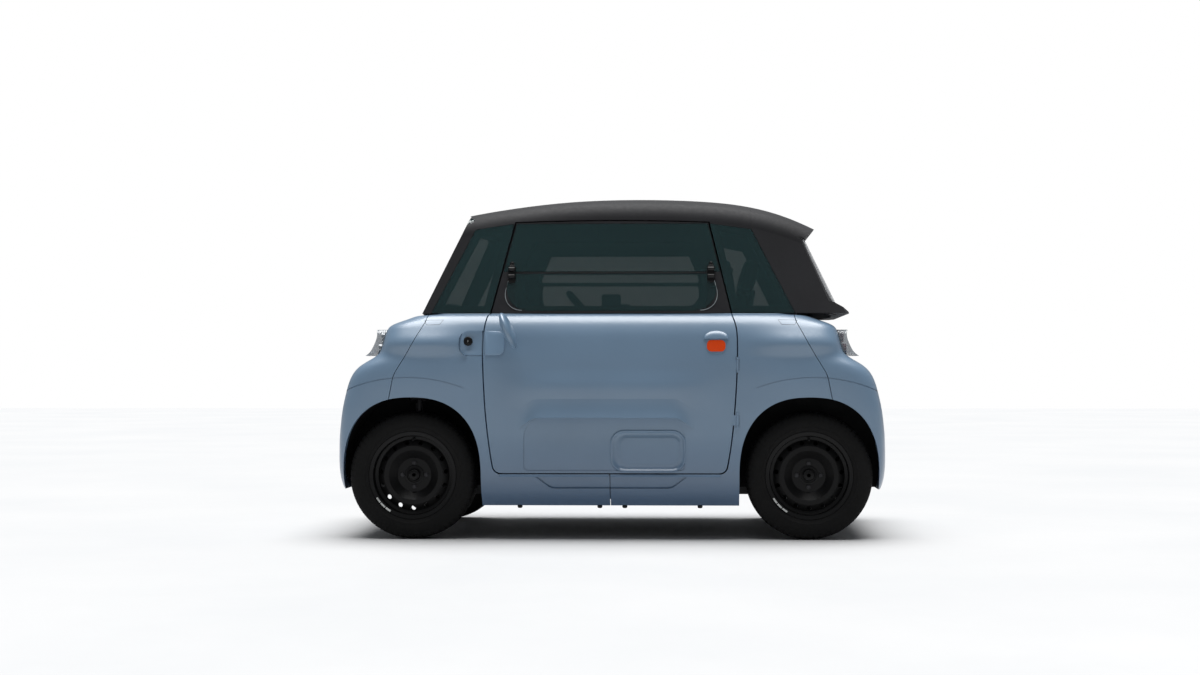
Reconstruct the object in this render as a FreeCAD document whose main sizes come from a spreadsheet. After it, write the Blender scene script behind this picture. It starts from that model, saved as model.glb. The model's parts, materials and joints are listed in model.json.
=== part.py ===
import FreeCAD, Part

import math
import os

from FreeCAD import Placement, Rotation, Vector

# A two-seat electric microcar on four wheels, in millimetres.
# X runs along the car with the nose at -X, Y across it with the left side at -Y, and Z up.
# The origin is on the ground, midway between the axles and between the wheels of one axle.
# The tail is the nose turned round, and the right door is the left door turned round.

doc = FreeCAD.newDocument("microcar")
sheet = doc.addObject("Spreadsheet::Sheet", "Sizes")

SIZES = [
    # body
    ("overall_length", 2410),
    ("body_width", 1390),
    ("belt_height", 985),
    ("sill_height", 147),
    ("bumper_height", 216),
    ("roof_height", 1528),
    ("panel_wall", 20),
    ("door_wall", 46),
    ("pillar_wall", 44),
    ("roof_wall", 18),
    ("shut_gap", 6),
    ("panel_gap", 3),
    ("seat_gap", 0.3),
    # running gear
    ("wheelbase", 1728),
    ("track", 1110),
    ("tyre_radius", 278),
    ("tyre_width", 155),
    ("rim_radius", 178),
    ("rim_width", 140),
    ("axle_radius", 15),
    ("axle_clearance", 0.05),
    ("arch_half_width", 304),
    ("arch_rise", 341),
    ("liner_gap", 8),
    ("liner_wall", 6),
    # doors and windows
    ("door_half_length", 549),
    ("door_bottom", 291),
    ("hinge_inset", 7),
    ("hinge_pin_radius", 3.5),
    ("glass_wall", 5),
    ("window_top", 1396),
    ("frame_width", 34),
    ("flap_top", 1161),
    ("window_rail", 10),
    ("marker_length", 80),
    ("marker_height", 50),
    # inside
    ("floor_wall", 18),
    ("footwell_half_width", 325),
    ("trim_wall", 8),
    ("rail_height", 175),
    ("rail_depth", 60),
    ("seat_height", 545),
    ("seat_width", 406),
    ("seat_spacing", 446),
    ("cushion_thickness", 110),
    ("steering_wheel_diameter", 360),
]
for row, (alias, value) in enumerate(SIZES, start=1):
    sheet.set(f"A{row}", alias.replace("_", " "))
    sheet.set(f"B{row}", str(value))
    sheet.setAlias(f"B{row}", alias)
doc.recompute()


class Length:
    """A size kept both as a number and as the formula that ties it to the sheet."""

    def __init__(self, value, formula):
        self.value = value
        self.formula = formula

    def joined(self, sign, other, value):
        text = other.formula if isinstance(other, Length) else repr(other)
        return Length(value, f"({self.formula} {sign} {text})")

    def __float__(self):
        return float(self.value)

    def __neg__(self):
        return Length(-self.value, f"(0 - {self.formula})")

    def __add__(self, other):
        return self.joined("+", other, self.value + float(other))

    def __sub__(self, other):
        return self.joined("-", other, self.value - float(other))

    def __mul__(self, other):
        return self.joined("*", other, self.value * float(other))

    def __truediv__(self, other):
        return self.joined("/", other, self.value / float(other))

    def __rsub__(self, other):
        return -self + other

    __radd__ = __add__
    __rmul__ = __mul__


def size(alias):
    """One cell of the sheet."""
    return Length(float(sheet.get(alias)), f"Sizes.{alias}")


def bind(item, name, length):
    """Ties one property of a document object to the sheet, or sets it when it is a plain number."""
    if isinstance(length, Length):
        item.setExpression(name, length.formula)
    else:
        item.setExpression(name, repr(length))


half_length = size("overall_length") / 2
half_width = size("body_width") / 2
axle_x = size("wheelbase") / 2
wheel_y = size("track") / 2
axle_z = size("tyre_radius")
belt = size("belt_height")
sill = size("sill_height")
roof = size("roof_height")

HALF_LENGTH = float(half_length)
HALF_WIDTH = float(half_width)
BELT = float(belt)
SILL = float(sill)
ROOF = float(roof)
AXLE_X = float(axle_x)
AXLE_Z = float(axle_z)
WHEEL_Y = float(wheel_y)
WALL = float(size("panel_wall"))
DOOR_WALL = float(size("door_wall"))
PILLAR = float(size("pillar_wall"))
ROOF_WALL = float(size("roof_wall"))
GAP = float(size("shut_gap"))
SEAM = float(size("panel_gap"))
SEAT = float(size("seat_gap"))
GLASS = float(size("glass_wall"))
ARCH_HALF = float(size("arch_half_width"))
ARCH_RISE = float(size("arch_rise"))
AXLE_CLEARANCE = float(size("axle_clearance"))
DOOR_HALF = float(size("door_half_length"))
DOOR_BOTTOM = float(size("door_bottom"))
LEFT, RIGHT = -1, 1
FRONT, REAR = -1, 1
FAR = 2000
parts = {}


def keep(label, shape):
    """Adds a finished sub-part to the document."""
    item = doc.addObject("Part::Feature", label)
    item.Shape = shape
    item.Placement = shape.Placement
    item.Label = label
    parts[label] = item
    return item


def box(x0, x1, y0, y1, z0, z1):
    """A block between two opposite corners."""
    return Part.makeBox(x1 - x0, y1 - y0, z1 - z0, Vector(x0, y0, z0))


def turned_round(shape):
    """The same shape turned half a turn about the upright axis of the car."""
    copy = shape.copy()
    copy.rotate(Vector(0, 0, 0), Vector(0, 0, 1), 180)
    return copy


def smooth(low, high, value):
    """0 below low, 1 above high and a soft step between them."""
    share = min(1, max(0, (value - low) / (high - low)))
    return share * share * (3 - 2 * share)


def bell(centre, spread, value):
    """1 at centre, fading to nothing about two spreads away."""
    return math.exp(-(((value - centre) / spread) ** 2))


# Lower body: closed rings round the car, from the sill up to the belt line.
# Each row is the height of the ring, then how far it lies inside the widest side
# and inside the foremost point of the nose.
BODY_RINGS = [
    (147, 92, 65),
    (190, 60, 35),
    (216, 44, 20),
    (250, 30, 9),
    (310, 18, 1),
    (380, 14, 0),
    (450, 12, 2),
    (513, 9, 8),
    (570, 6, 16),
    (625, 5, 28),
    (680, 4, 43),
    (724, 4, 64),
    (750, 5, 87),
    (772, 6, 119),
    (790, 8, 150),
    (812, 11, 178),
    (850, 17, 195),
    (900, 28, 206),
    (925, 38, 217),
    (945, 49, 250),
    (963, 64, 300),
    (978, 87, 350),
    (985, 112, 385),
]
RING_BASE, RING_TOP = BODY_RINGS[0][0], BODY_RINGS[-1][0]
RING_POINTS = 64
PLAN_POWER = 13
CORNER_CROWD = 0.5
MOST_SLOPE = 1.5


def ring_height(height):
    """A height in the table above, stretched between the real sill and belt."""
    return SILL + (height - RING_BASE) * (BELT - SILL) / (RING_TOP - RING_BASE)


def side_push(x, z):
    """How far the side swells out over a wheel or draws in at the waist and shoulder."""
    over_wheel = smooth(AXLE_X - 344, AXLE_X - 64, abs(x))
    at_door = 1 - smooth(250, 520, abs(x))
    swell = 4 * bell(680, 90, z) - 22 * bell(848, 38, z) - 6 * bell(900, 30, z)
    waist = 4 * bell(545, 35, z) - 14 * bell(655, 60, z)
    return over_wheel * swell + at_door * waist


def slope_factor(level, column):
    """How much further a wall reaches level across when it leans, up to a limit."""
    below, above = max(level - 1, 0), min(level + 1, len(BODY_RINGS) - 1)
    rise = BODY_RINGS[above][0] - BODY_RINGS[below][0]
    run = BODY_RINGS[above][column] - BODY_RINGS[below][column]
    return min(MOST_SLOPE, math.hypot(1, run / rise))


def body_ring(level, inset):
    """One closed ring of the lower body, set in from the outer skin."""
    height, side_inset, end_inset = BODY_RINGS[level]
    z = ring_height(height)
    width = HALF_WIDTH - side_inset - inset * slope_factor(level, 1)
    length = HALF_LENGTH - end_inset - inset * slope_factor(level, 2)
    points = []
    for index in range(RING_POINTS):
        turn = 2 * math.pi * (index + 0.5) / RING_POINTS
        turn += CORNER_CROWD / 4 * math.sin(4 * turn)
        along, across = abs(math.cos(turn)), abs(math.sin(turn))
        reach = (along ** PLAN_POWER + across ** PLAN_POWER) ** (-1 / PLAN_POWER)
        x, y = length * math.cos(turn) * reach, width * math.sin(turn) * reach
        push = side_push(x, z) * smooth(0.6, 0.95, abs(y) / width)
        points.append(Vector(x, y + math.copysign(push, y), z))
    return points


def closed_ring(points):
    """A smooth closed curve through the points."""
    curve = Part.BSplineCurve()
    steps = [index / len(points) for index in range(len(points) + 1)]
    curve.interpolate(Points=points, PeriodicFlag=True, Parameters=steps)
    return Part.Wire([curve.toShape()])


made_bodies = {}


def body_solid(inset):
    """The lower body as one solid, set in from the outer skin, or grown when inset is negative."""
    if inset in made_bodies:
        return made_bodies[inset]
    overrun = 30 if inset > 0 else -inset
    rings = []
    for level in range(len(BODY_RINGS)):
        points = body_ring(level, inset)
        if level == 0:
            points = [point - Vector(0, 0, overrun) for point in points]
        if level == len(BODY_RINGS) - 1:
            points = [point + Vector(0, 0, overrun) for point in points]
        rings.append(closed_ring(points))
    made_bodies[inset] = Part.makeLoft(rings, True, False)
    return made_bodies[inset]


def skin_half_width(z):
    """Half the width of the car at a height, at the doors."""
    if z > BELT:
        return cabin_half_width(z)
    heights = [ring_height(row[0]) for row in BODY_RINGS]
    for index in range(1, len(heights)):
        if z <= heights[index]:
            share = max(0, (z - heights[index - 1]) / (heights[index] - heights[index - 1]))
            inset = BODY_RINGS[index - 1][1] * (1 - share) + BODY_RINGS[index][1] * share
            return min(HALF_WIDTH - inset, max(cabin_half_width(z), HALF_WIDTH - inset))
    return cabin_half_width(z)


# Cabin: arched sections across the car, lofted from nose to tail.
# Each row is the station along X, then how far the roof lies below its crown there.
ROOF_DROPS = [
    (-1000, 145),
    (-671, 74),
    (-455, 38),
    (-200, 10),
    (100, 0),
    (390, 8),
    (606, 32),
    (742, 66),
    (911, 136),
    (1150, 262),
]
CABIN_FOOT = 105
EAVE_DROP = 129
CORNER_DROP = 42
FOOT_HALF = 608
EAVE_HALF = 508
CORNER_HALF = 428


def cabin_half_width(z):
    """Half the width of the cabin at a height, in the middle of the car."""
    foot, eave = BELT - CABIN_FOOT, ROOF - EAVE_DROP
    return FOOT_HALF - (FOOT_HALF - EAVE_HALF) * (z - foot) / (eave - foot)


def cabin_section(station, drop, inset):
    """An arch across the car: leaning walls, round corners and a domed roof."""
    pinch = 26 * smooth(300, 1000, abs(station))
    top = ROOF - drop
    foot_z, eave_z, corner_z = BELT - CABIN_FOOT, top - EAVE_DROP, top - CORNER_DROP
    lean = (FOOT_HALF - EAVE_HALF) / (ROOF - EAVE_DROP - foot_z)
    shift = inset * math.sqrt(1 + lean * lean)
    foot = Vector(station, FOOT_HALF - pinch * 0.6 - shift, foot_z)
    eave = Vector(station, EAVE_HALF - pinch - shift, eave_z)
    corner = Vector(station, CORNER_HALF - pinch - inset * 0.35, corner_z - inset * 0.94)
    ridge = Vector(station, 0, top - inset)
    bulge = (eave + corner) * 0.5 + Vector(0, 16, 13) * (1 - inset / 160)

    def across(point):
        return Vector(point.x, -point.y, point.z)

    return Part.Wire([
        Part.makeLine(foot, eave),
        Part.Arc(eave, bulge, corner).toShape(),
        Part.Arc(corner, ridge, across(corner)).toShape(),
        Part.Arc(across(corner), across(bulge), across(eave)).toShape(),
        Part.makeLine(across(eave), across(foot)),
        Part.makeLine(across(foot), foot),
    ])


made_arches = {}


def roof_arch(inset):
    """The cabin before its screens are cut, set in from the outer skin."""
    if inset not in made_arches:
        sections = [cabin_section(x, drop, inset) for x, drop in ROOF_DROPS]
        made_arches[inset] = Part.makeLoft(sections, True, False)
    return made_arches[inset]


SCREEN_FOOT = 826
SCREEN_LEAN = 0.5
SCREEN_BULGE = 55
TAIL_FOOT = 968
TAIL_LEAN = 0.49
TAIL_BULGE = 80
SCREEN_SIDE = 600


def screen_x(z, inset=0):
    """Where the side edge of the windscreen stands at a height."""
    return -SCREEN_FOOT + SCREEN_LEAN * (z - BELT) + inset * math.hypot(1, SCREEN_LEAN)


def tail_x(z, inset=0):
    """Where the side edge of the rear window stands at a height."""
    return TAIL_FOOT - TAIL_LEAN * (z - BELT) - inset * math.hypot(1, TAIL_LEAN)


def screen_block(inset):
    """Everything between the surfaces of the windscreen and the rear window."""
    wires = []
    for z in (BELT - 150, ROOF + 100):
        front, rear = screen_x(z, inset), tail_x(z, inset)
        front_left, front_right = Vector(front, -SCREEN_SIDE, z), Vector(front, SCREEN_SIDE, z)
        rear_left, rear_right = Vector(rear, -SCREEN_SIDE, z), Vector(rear, SCREEN_SIDE, z)
        wires.append(Part.Wire([
            Part.Arc(front_left, Vector(front - SCREEN_BULGE, 0, z), front_right).toShape(),
            Part.makeLine(front_right, rear_right),
            Part.Arc(rear_right, Vector(rear + TAIL_BULGE, 0, z), rear_left).toShape(),
            Part.makeLine(rear_left, front_left),
        ]))
    return Part.makeLoft(wires, True, True)


made_cabins = {}


def cabin_solid(inset):
    """The whole cabin as one solid, set in from its outer skin."""
    if inset not in made_cabins:
        made_cabins[inset] = roof_arch(inset).common(screen_block(inset))
    return made_cabins[inset]


def rounded_outline(corners, place):
    """A closed outline of straight edges with an arc at each corner that has a radius."""
    edges = []
    count = len(corners)
    ends = []
    for index, (u, v, radius) in enumerate(corners):
        before = Vector(*corners[index - 1][:2], 0)
        here = Vector(u, v, 0)
        after = Vector(*corners[(index + 1) % count][:2], 0)
        if radius == 0:
            ends.append((here, None, here))
            continue
        back, ahead = (before - here).normalize(), (after - here).normalize()
        half = back.getAngle(ahead) / 2
        run = radius / math.tan(half)
        middle = here + (back + ahead).normalize() * (radius / math.sin(half) - radius)
        ends.append((here + back * run, middle, here + ahead * run))
    for index, (start, middle, end) in enumerate(ends):
        if middle is not None:
            edges.append(Part.Arc(place(start), place(middle), place(end)).toShape())
        following = ends[(index + 1) % count][0]
        edges.append(Part.makeLine(place(end), place(following)))
    return Part.Wire(edges)


def side_prism(corners, y0, y1, shear=0):
    """A prism across the car from an outline in side view: rows of x, z and corner radius."""
    wire = rounded_outline(corners, lambda point: Vector(point.x, y0, point.y))
    return Part.Face(wire).extrude(Vector(shear * (y1 - y0), y1 - y0, 0))


def front_prism(corners, x0, x1):
    """A prism along the car from an outline in front view: rows of y, z and corner radius."""
    wire = rounded_outline(corners, lambda point: Vector(x0, point.x, point.y))
    return Part.Face(wire).extrude(Vector(x1 - x0, 0, 0))


# Doors: the opening is cut by a prism that leans in plan, so that its free edge
# can swing out past the pillar.
DOOR_LEAN = math.tan(math.radians(13))
DOOR_FACE_Y = -900
DOOR_CORNER = 34
WINDOW_TOP = float(size("window_top"))
BELT_HALF = DOOR_HALF - 24
TOP_HALF = BELT_HALF - 100
DOOR_SIDE = [
    (DOOR_BOTTOM, DOOR_HALF - 49),
    (352, DOOR_HALF - 37),
    (494, DOOR_HALF - 18),
    (620, DOOR_HALF - 8),
    (740, DOOR_HALF - 2),
    (840, DOOR_HALF),
    (925, DOOR_HALF - 6),
    (BELT, BELT_HALF),
]


def on_door_face(x, z):
    """Moves a point seen on the skin of the left door to the start plane of the prism."""
    lean_in = (-skin_half_width(z) - DOOR_FACE_Y) * DOOR_LEAN
    return Vector(x - lean_in, DOOR_FACE_Y, z)


def door_prism(grow):
    """The left door's outline as a prism, grown by a gap for its opening."""
    def edge(side):
        points = []
        for z, x in DOOR_SIDE:
            low = grow if z == DOOR_BOTTOM else 0
            points.append(on_door_face(side * (x + grow), z) - Vector(0, 0, low))
        return points

    left, right = edge(-1), edge(1)
    top_z = WINDOW_TOP - 8 + grow
    crown = Vector(on_door_face(0, WINDOW_TOP).x, DOOR_FACE_Y, WINDOW_TOP + grow)
    top_left = on_door_face(-(TOP_HALF + grow), top_z)
    top_right = on_door_face(TOP_HALF + grow, top_z)

    def side_curve(points):
        curve = Part.BSplineCurve()
        curve.interpolate(points)
        return curve.toShape()

    wire = Part.Wire([
        Part.makeLine(left[0], right[0]),
        side_curve(right),
        Part.makeLine(right[-1], top_right),
        Part.Arc(top_right, crown, top_left).toShape(),
        Part.makeLine(top_left, left[-1]),
        side_curve(left[::-1]),
    ])
    depth = -DOOR_FACE_Y - 330
    solid = Part.Face(wire).extrude(Vector(DOOR_LEAN * depth, depth, 0))
    radius = DOOR_CORNER + grow
    low_edges = [
        edge for edge in solid.Edges
        if len(edge.Vertexes) == 2
        and abs(edge.Vertexes[0].Point.z - edge.Vertexes[1].Point.z) < 0.01
        and abs(edge.Vertexes[0].Point.z - (DOOR_BOTTOM - grow)) < 0.01
        and abs(edge.Vertexes[0].Point.y - edge.Vertexes[1].Point.y) > 100
    ]
    return solid.makeFillet(radius, low_edges)


ARCH_POWER = 2.4


def arch_prism(end, grow, y0, y1):
    """The wheel opening of one axle: a squared-off ellipse over the hub, open below."""
    half, rise = ARCH_HALF + grow, ARCH_RISE + grow
    points = []
    steps = 20
    for index in range(steps + 1):
        turn = math.pi * index / steps
        along, up = math.cos(turn), math.sin(turn)
        reach = (abs(along) ** ARCH_POWER + up ** ARCH_POWER) ** (-1 / ARCH_POWER)
        x = end * AXLE_X + half * along * reach
        points.append(Vector(x, y0, AXLE_Z + rise * up * reach))
    curve = Part.BSplineCurve()
    curve.interpolate(points)
    first, last = points[0], points[-1]
    down = Vector(0, 0, -AXLE_Z - 100)
    wire = Part.Wire([
        curve.toShape(),
        Part.makeLine(last, last + down),
        Part.makeLine(last + down, first + down),
        Part.makeLine(first + down, first),
    ])
    return Part.Face(wire).extrude(Vector(0, y1 - y0, 0))


def nose_zone(grow):
    """Everything ahead of the seam between the nose and the quarter panels."""
    foot = -AXLE_X - 101 + grow
    return side_prism([
        (-FAR, BELT + 200, 0),
        (-AXLE_X + 110 + grow, BELT + 200, 0),
        (-AXLE_X + 57 + grow, BELT - 37, 60),
        (-AXLE_X + 4 + grow, BELT - 138, 150),
        (-AXLE_X - 75 + grow, BELT - 269, 120),
        (foot, BELT - 400, 0),
        (foot, -10, 0),
        (-FAR, -10, 0),
    ], -FAR, FAR)


# Shells of the lower body
WHEEL_INNER = WHEEL_Y - float(size("tyre_width")) / 2
skin = body_solid(0)
lining = body_solid(WALL)
door_zone = door_prism(0)
opening_left = door_prism(GAP)
opening_right = turned_round(opening_left)

GRIP_X0, GRIP_X1 = -AXLE_X + 210, -AXLE_X + 407
GRIP_Z0, GRIP_Z1 = BELT - 187, BELT - 77
GRIP_DEPTH = 11


def carved(shape, prism, depth):
    """Sinks the skin inside a prism by a depth."""
    return shape.cut(prism.cut(body_solid(depth)))


CREASE_RADIUS = 700
CREASE_X = AXLE_X + 16
CREASE_TOP = 708
CREASE_DEPTH = 2


def crease_prism(end):
    """A narrow curved band above a wheel arch, where the skin has a fine crease."""
    y0, y1 = -FAR, -200
    rings = []
    for radius in (CREASE_RADIUS, CREASE_RADIUS - 5):
        middle = Vector(end * CREASE_X, y0, CREASE_TOP - CREASE_RADIUS)
        rings.append(Part.makeCylinder(radius, y1 - y0, middle, Vector(0, 1, 0)))
    reach = box(*sorted((end * (AXLE_X - 230), end * (AXLE_X + 300))), -FAR, 0, 600, FAR)
    return rings[0].cut(rings[1]).common(reach)


SCOOP = [(-334, 283, 0), (346, 283, 0), (268, 224, 50), (-256, 224, 50)]
SCOOP_DEPTH = 7


def make_nose():
    """The one-piece nose: bonnet, front face and bumper skin."""
    zone = nose_zone(-SEAM / 2)
    for side in (LEFT, RIGHT):
        zone = zone.cut(arch_prism(FRONT, 0, *sorted((side * FAR, side * (WHEEL_INNER - 140)))))
    zone = zone.cut(box(-FAR, 0, -FAR, FAR, -20, float(size("bumper_height"))))
    shell = zone.common(skin).cut(lining)
    crease = crease_prism(FRONT)
    return carved(carved(shell, crease, CREASE_DEPTH), turned_round(crease_prism(REAR)), CREASE_DEPTH)


def make_latch_quarter():
    """The front left quarter panel with its half of the sill, on the latch side of the door."""
    reach = box(-FAR, -SEAM / 2, -FAR, 0, 0, FAR)
    zone = reach.cut(nose_zone(SEAM / 2)).cut(arch_prism(FRONT, 0, -FAR, -100)).cut(opening_left)
    quarter = zone.common(skin).cut(lining)
    grip = side_prism([(GRIP_X0, GRIP_Z0, 40), (GRIP_X1, GRIP_Z0, 40),
                       (GRIP_X1, GRIP_Z1, 40), (GRIP_X0, GRIP_Z1, 40)], -FAR, -200)
    quarter = carved(quarter, side_prism(SCOOP, -FAR, -200), SCOOP_DEPTH)
    return carved(carved(quarter, crease_prism(FRONT), CREASE_DEPTH), grip, GRIP_DEPTH)


HINGE_X = DOOR_HALF + GAP / 2
HINGE_Y = -HALF_WIDTH + float(size("hinge_inset"))
HINGE_HEIGHTS = (520, 760)
HINGE_PIN = float(size("hinge_pin_radius"))
BARREL_RADIUS = HINGE_PIN + 2.5
BARREL_HALF = 22
KNUCKLE = 12
HINGE_ROOM = 1.5
HINGE_WEB = 24


def hinge_cylinder(radius, z0, z1):
    """A cylinder on the left door's hinge axis."""
    return Part.makeCylinder(radius, z1 - z0, Vector(HINGE_X, HINGE_Y, z0))


def make_hinge_quarter():
    """The rear left quarter panel with its half of the sill, which carries the door's pins."""
    reach = box(SEAM / 2, FAR, -FAR, 0, 0, FAR)
    zone = reach.cut(turned_round(nose_zone(SEAM / 2))).cut(arch_prism(REAR, 0, -FAR, -100))
    quarter = zone.cut(opening_left).common(skin).cut(lining)
    quarter = carved(quarter, side_prism(SCOOP, -FAR, -200), SCOOP_DEPTH)
    quarter = carved(quarter, crease_prism(REAR), CREASE_DEPTH)
    for z in HINGE_HEIGHTS:
        low, high = z - BARREL_HALF, z + BARREL_HALF
        notch = box(HINGE_X - HINGE_WEB, HINGE_X, HINGE_Y - 10, HINGE_Y + BARREL_RADIUS + HINGE_ROOM,
                    low - 1, high + 1)
        quarter = quarter.cut([notch, hinge_cylinder(BARREL_RADIUS + HINGE_ROOM, low - 1, high + 1)])
        pin = hinge_cylinder(HINGE_PIN - AXLE_CLEARANCE, low - KNUCKLE, high + KNUCKLE)
        knuckles = [hinge_cylinder(BARREL_RADIUS, low - KNUCKLE, low - 1),
                    hinge_cylinder(BARREL_RADIUS, high + 1, high + KNUCKLE)]
        quarter = quarter.fuse([pin] + knuckles)
    return quarter.removeSplitter()


def hinged(panel):
    """Gives the door its two hinge barrels, with room round the knuckles they turn between."""
    for z in HINGE_HEIGHTS:
        low, high = z - BARREL_HALF, z + BARREL_HALF
        room = hinge_cylinder(BARREL_RADIUS + HINGE_ROOM, low - KNUCKLE - 1, low)
        panel = panel.cut([room, hinge_cylinder(BARREL_RADIUS + HINGE_ROOM, high, high + KNUCKLE + 1)])
        web = box(HINGE_X - HINGE_WEB, HINGE_X, HINGE_Y, HINGE_Y + BARREL_RADIUS, low, high)
        barrel = hinge_cylinder(BARREL_RADIUS, low, high).fuse(web)
        panel = panel.fuse(barrel).cut(hinge_cylinder(HINGE_PIN, low - 1, high + 1))
    return panel


MARKER_X = DOOR_HALF - 89
MARKER_Z = BELT - 143
MARKER_DEPTH = 6


def marker_prism(grow):
    half = float(size("marker_length")) / 2 + grow
    rise = float(size("marker_height")) / 2 + grow
    round_off = rise * 0.8
    return side_prism([(MARKER_X - half, MARKER_Z - rise, round_off),
                       (MARKER_X + half, MARKER_Z - rise, round_off),
                       (MARKER_X + half, MARKER_Z + rise, round_off),
                       (MARKER_X - half, MARKER_Z + rise, round_off)], -FAR, -300)


def make_door():
    """The left door below its window, as thick as the panel with its inner trim."""
    panel = door_zone.common(skin).cut(body_solid(DOOR_WALL))
    low = side_prism([(-DOOR_HALF + 174, DOOR_BOTTOM + 10, 20), (DOOR_HALF - 224, DOOR_BOTTOM + 10, 20),
                      (DOOR_HALF - 224, 530, 90), (-DOOR_HALF + 174, 530, 90)], -FAR, -200)
    ring_outer = [(5, 301, 45), (325, 301, 45), (325, 474, 45), (5, 474, 45)]
    ring_inner = [(46, 328, 30), (298, 328, 30), (298, 445, 30), (46, 445, 30)]
    ring = side_prism(ring_outer, -FAR, -200).cut(side_prism(ring_inner, -FAR, -200))
    panel = carved(panel, low, 4)
    panel = carved(panel, ring, 8)
    panel = carved(panel, marker_prism(2), MARKER_DEPTH)
    return hinged(panel)


def make_marker():
    """The side marker lamp, a low dome in its recess near the hinge edge."""
    return marker_prism(0).common(body_solid(-5)).cut(body_solid(MARKER_DEPTH - SEAT))


# Cabin windows
def door_edge(z):
    """Half the length of the door at a height above the belt."""
    return BELT_HALF - (z - BELT) * (BELT_HALF - TOP_HALF) / (WINDOW_TOP - 8 - BELT)


FLAP_TOP = float(size("flap_top"))
FLAP_LOW = BELT + 12
UPPER_LOW = FLAP_TOP + float(size("window_rail"))
UPPER_TOP = WINDOW_TOP - 12
FRAME = float(size("frame_width"))


def leaning_prism(corners):
    """A prism through the left side of the cabin that leans in plan as the door does."""
    wire = rounded_outline(corners, lambda point: on_door_face(point.x, point.y))
    depth = -DOOR_FACE_Y - 330
    return Part.Face(wire).extrude(Vector(DOOR_LEAN * depth, depth, 0))


def upper_pane(grow):
    low, high = UPPER_LOW - grow, UPPER_TOP + grow
    corner = 4 if grow > -10 else 16
    wide, narrow = door_edge(low) - 3 + grow, door_edge(high) - 3 + grow
    return leaning_prism([(-wide, low, corner), (wide, low, corner),
                          (narrow, high, 12), (-narrow, high, 12)])


def flap_pane(grow):
    low, high = FLAP_LOW - grow, FLAP_TOP + grow
    wide, narrow = door_edge(low) - 30 + grow, door_edge(high) - 34 + grow
    corner = 100 + grow
    return leaning_prism([(-wide, low, corner), (wide, low, corner),
                          (narrow, high, 6), (-narrow, high, 6)])


PILLAR_FACE = 34
QUARTER_TOP_OUTER = WINDOW_TOP - 36
QUARTER_TOP_INNER = WINDOW_TOP - 12
REAR_LINE_FOOT = 807
REAR_LINE_LEAN = 0.51


def front_quarter_window(grow):
    low, door_high = BELT - 40, QUARTER_TOP_INNER + grow
    high = QUARTER_TOP_OUTER + grow
    if grow < -10:
        low = BELT - grow
    near = GAP + 1 - grow
    return side_prism([(screen_x(low) + PILLAR_FACE - grow, low, 0), (-door_edge(low) - near, low, 0),
                       (-door_edge(door_high) - near, door_high, 6),
                       (screen_x(high) + PILLAR_FACE - grow, high, 20)], -FAR, FAR)


def rear_quarter_window(grow):
    low, door_high = BELT - 40, QUARTER_TOP_INNER + grow
    high = QUARTER_TOP_OUTER + grow
    if grow < -10:
        low = BELT - grow
    near = GAP + 1 - grow

    def rear_line(z):
        return REAR_LINE_FOOT - REAR_LINE_LEAN * (z - BELT) + grow

    return side_prism([(door_edge(low) + near, low, 0), (rear_line(low), low, 0),
                       (rear_line(high), high, 12), (door_edge(door_high) + near, door_high, 6)],
                      -FAR, FAR)


def windscreen_zone(grow):
    low = BELT - 40 if grow > -10 else BELT - grow
    return front_prism([(-548 - grow, low, 0), (548 + grow, low, 0),
                        (466 + grow, 1412 + grow, 40), (-466 - grow, 1412 + grow, 40)], -FAR, -400)


def rear_window_zone(grow):
    return front_prism([(-478 - grow, 1040 - grow, 60), (478 + grow, 1040 - grow, 60),
                        (424 + grow, 1330 + grow, 50), (-424 - grow, 1330 + grow, 50)], 500, FAR)


ROOF_SEAM = 616
BROW = 11
LIP_REACH = 45


def roof_zone(grow):
    """The roof panel with its front brow, in side view."""
    return side_prism([
        (-FAR, ROOF + 100, 0),
        (-FAR, 1446 - grow, 0),
        (-672, 1446 - grow, 10),
        (-612, 1414 - grow, 10),
        (-588, QUARTER_TOP_OUTER + SEAM - grow, 10),
        (-TOP_HALF - 4, QUARTER_TOP_INNER + SEAM - grow, 0),
        (TOP_HALF + 4, QUARTER_TOP_INNER + SEAM - grow, 0),
        (ROOF_SEAM - SEAM / 2 + grow, QUARTER_TOP_OUTER + SEAM - grow, 0),
        (ROOF_SEAM - SEAM / 2 + grow, ROOF + 100, 0),
    ], -FAR, FAR)


def rear_cap_zone(grow):
    """The rear cap: the pillars beside the rear window and the frame round it."""
    seam = ROOF_SEAM + SEAM / 2 - grow
    line_top = REAR_LINE_FOOT - REAR_LINE_LEAN * (QUARTER_TOP_OUTER + SEAM - BELT) + SEAM
    line_foot = REAR_LINE_FOOT + SEAM + REAR_LINE_LEAN * 60
    return side_prism([(seam, ROOF + 100, 0), (seam, QUARTER_TOP_OUTER + SEAM - grow, 0),
                       (line_top - grow, QUARTER_TOP_OUTER + SEAM - grow, 0),
                       (line_foot - grow, BELT - 60, 0), (FAR, BELT - 60, 0),
                       (FAR, ROOF + 100, 0)], -FAR, FAR)


glass_back = cabin_solid(GLASS + SEAT)
on_belt = box(-FAR, FAR, -FAR, FAR, 0, BELT + SEAT)
over_belt = box(-FAR, FAR, -FAR, FAR, 0, BELT + SEAM)


def glazed(frame, zone_of, edge_gap=1.5):
    """Sinks a pocket for a pane in the frame and opens the frame behind it."""
    pocket = zone_of(edge_gap).cut(glass_back)
    return frame.cut([pocket, zone_of(-FRAME)])


def pane(zone):
    """A sheet of glass in the outer skin of the cabin."""
    return zone.cut(over_belt).common(cabin_solid(0)).cut(cabin_solid(GLASS))


def make_door_frame():
    frame = door_zone.cut(on_belt).common(cabin_solid(0)).cut(cabin_solid(PILLAR))
    return glazed(glazed(frame, upper_pane), flap_pane)


def make_door_glass():
    return Part.makeCompound(pane(upper_pane(0)).Solids + pane(flap_pane(0)).Solids)


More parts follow.
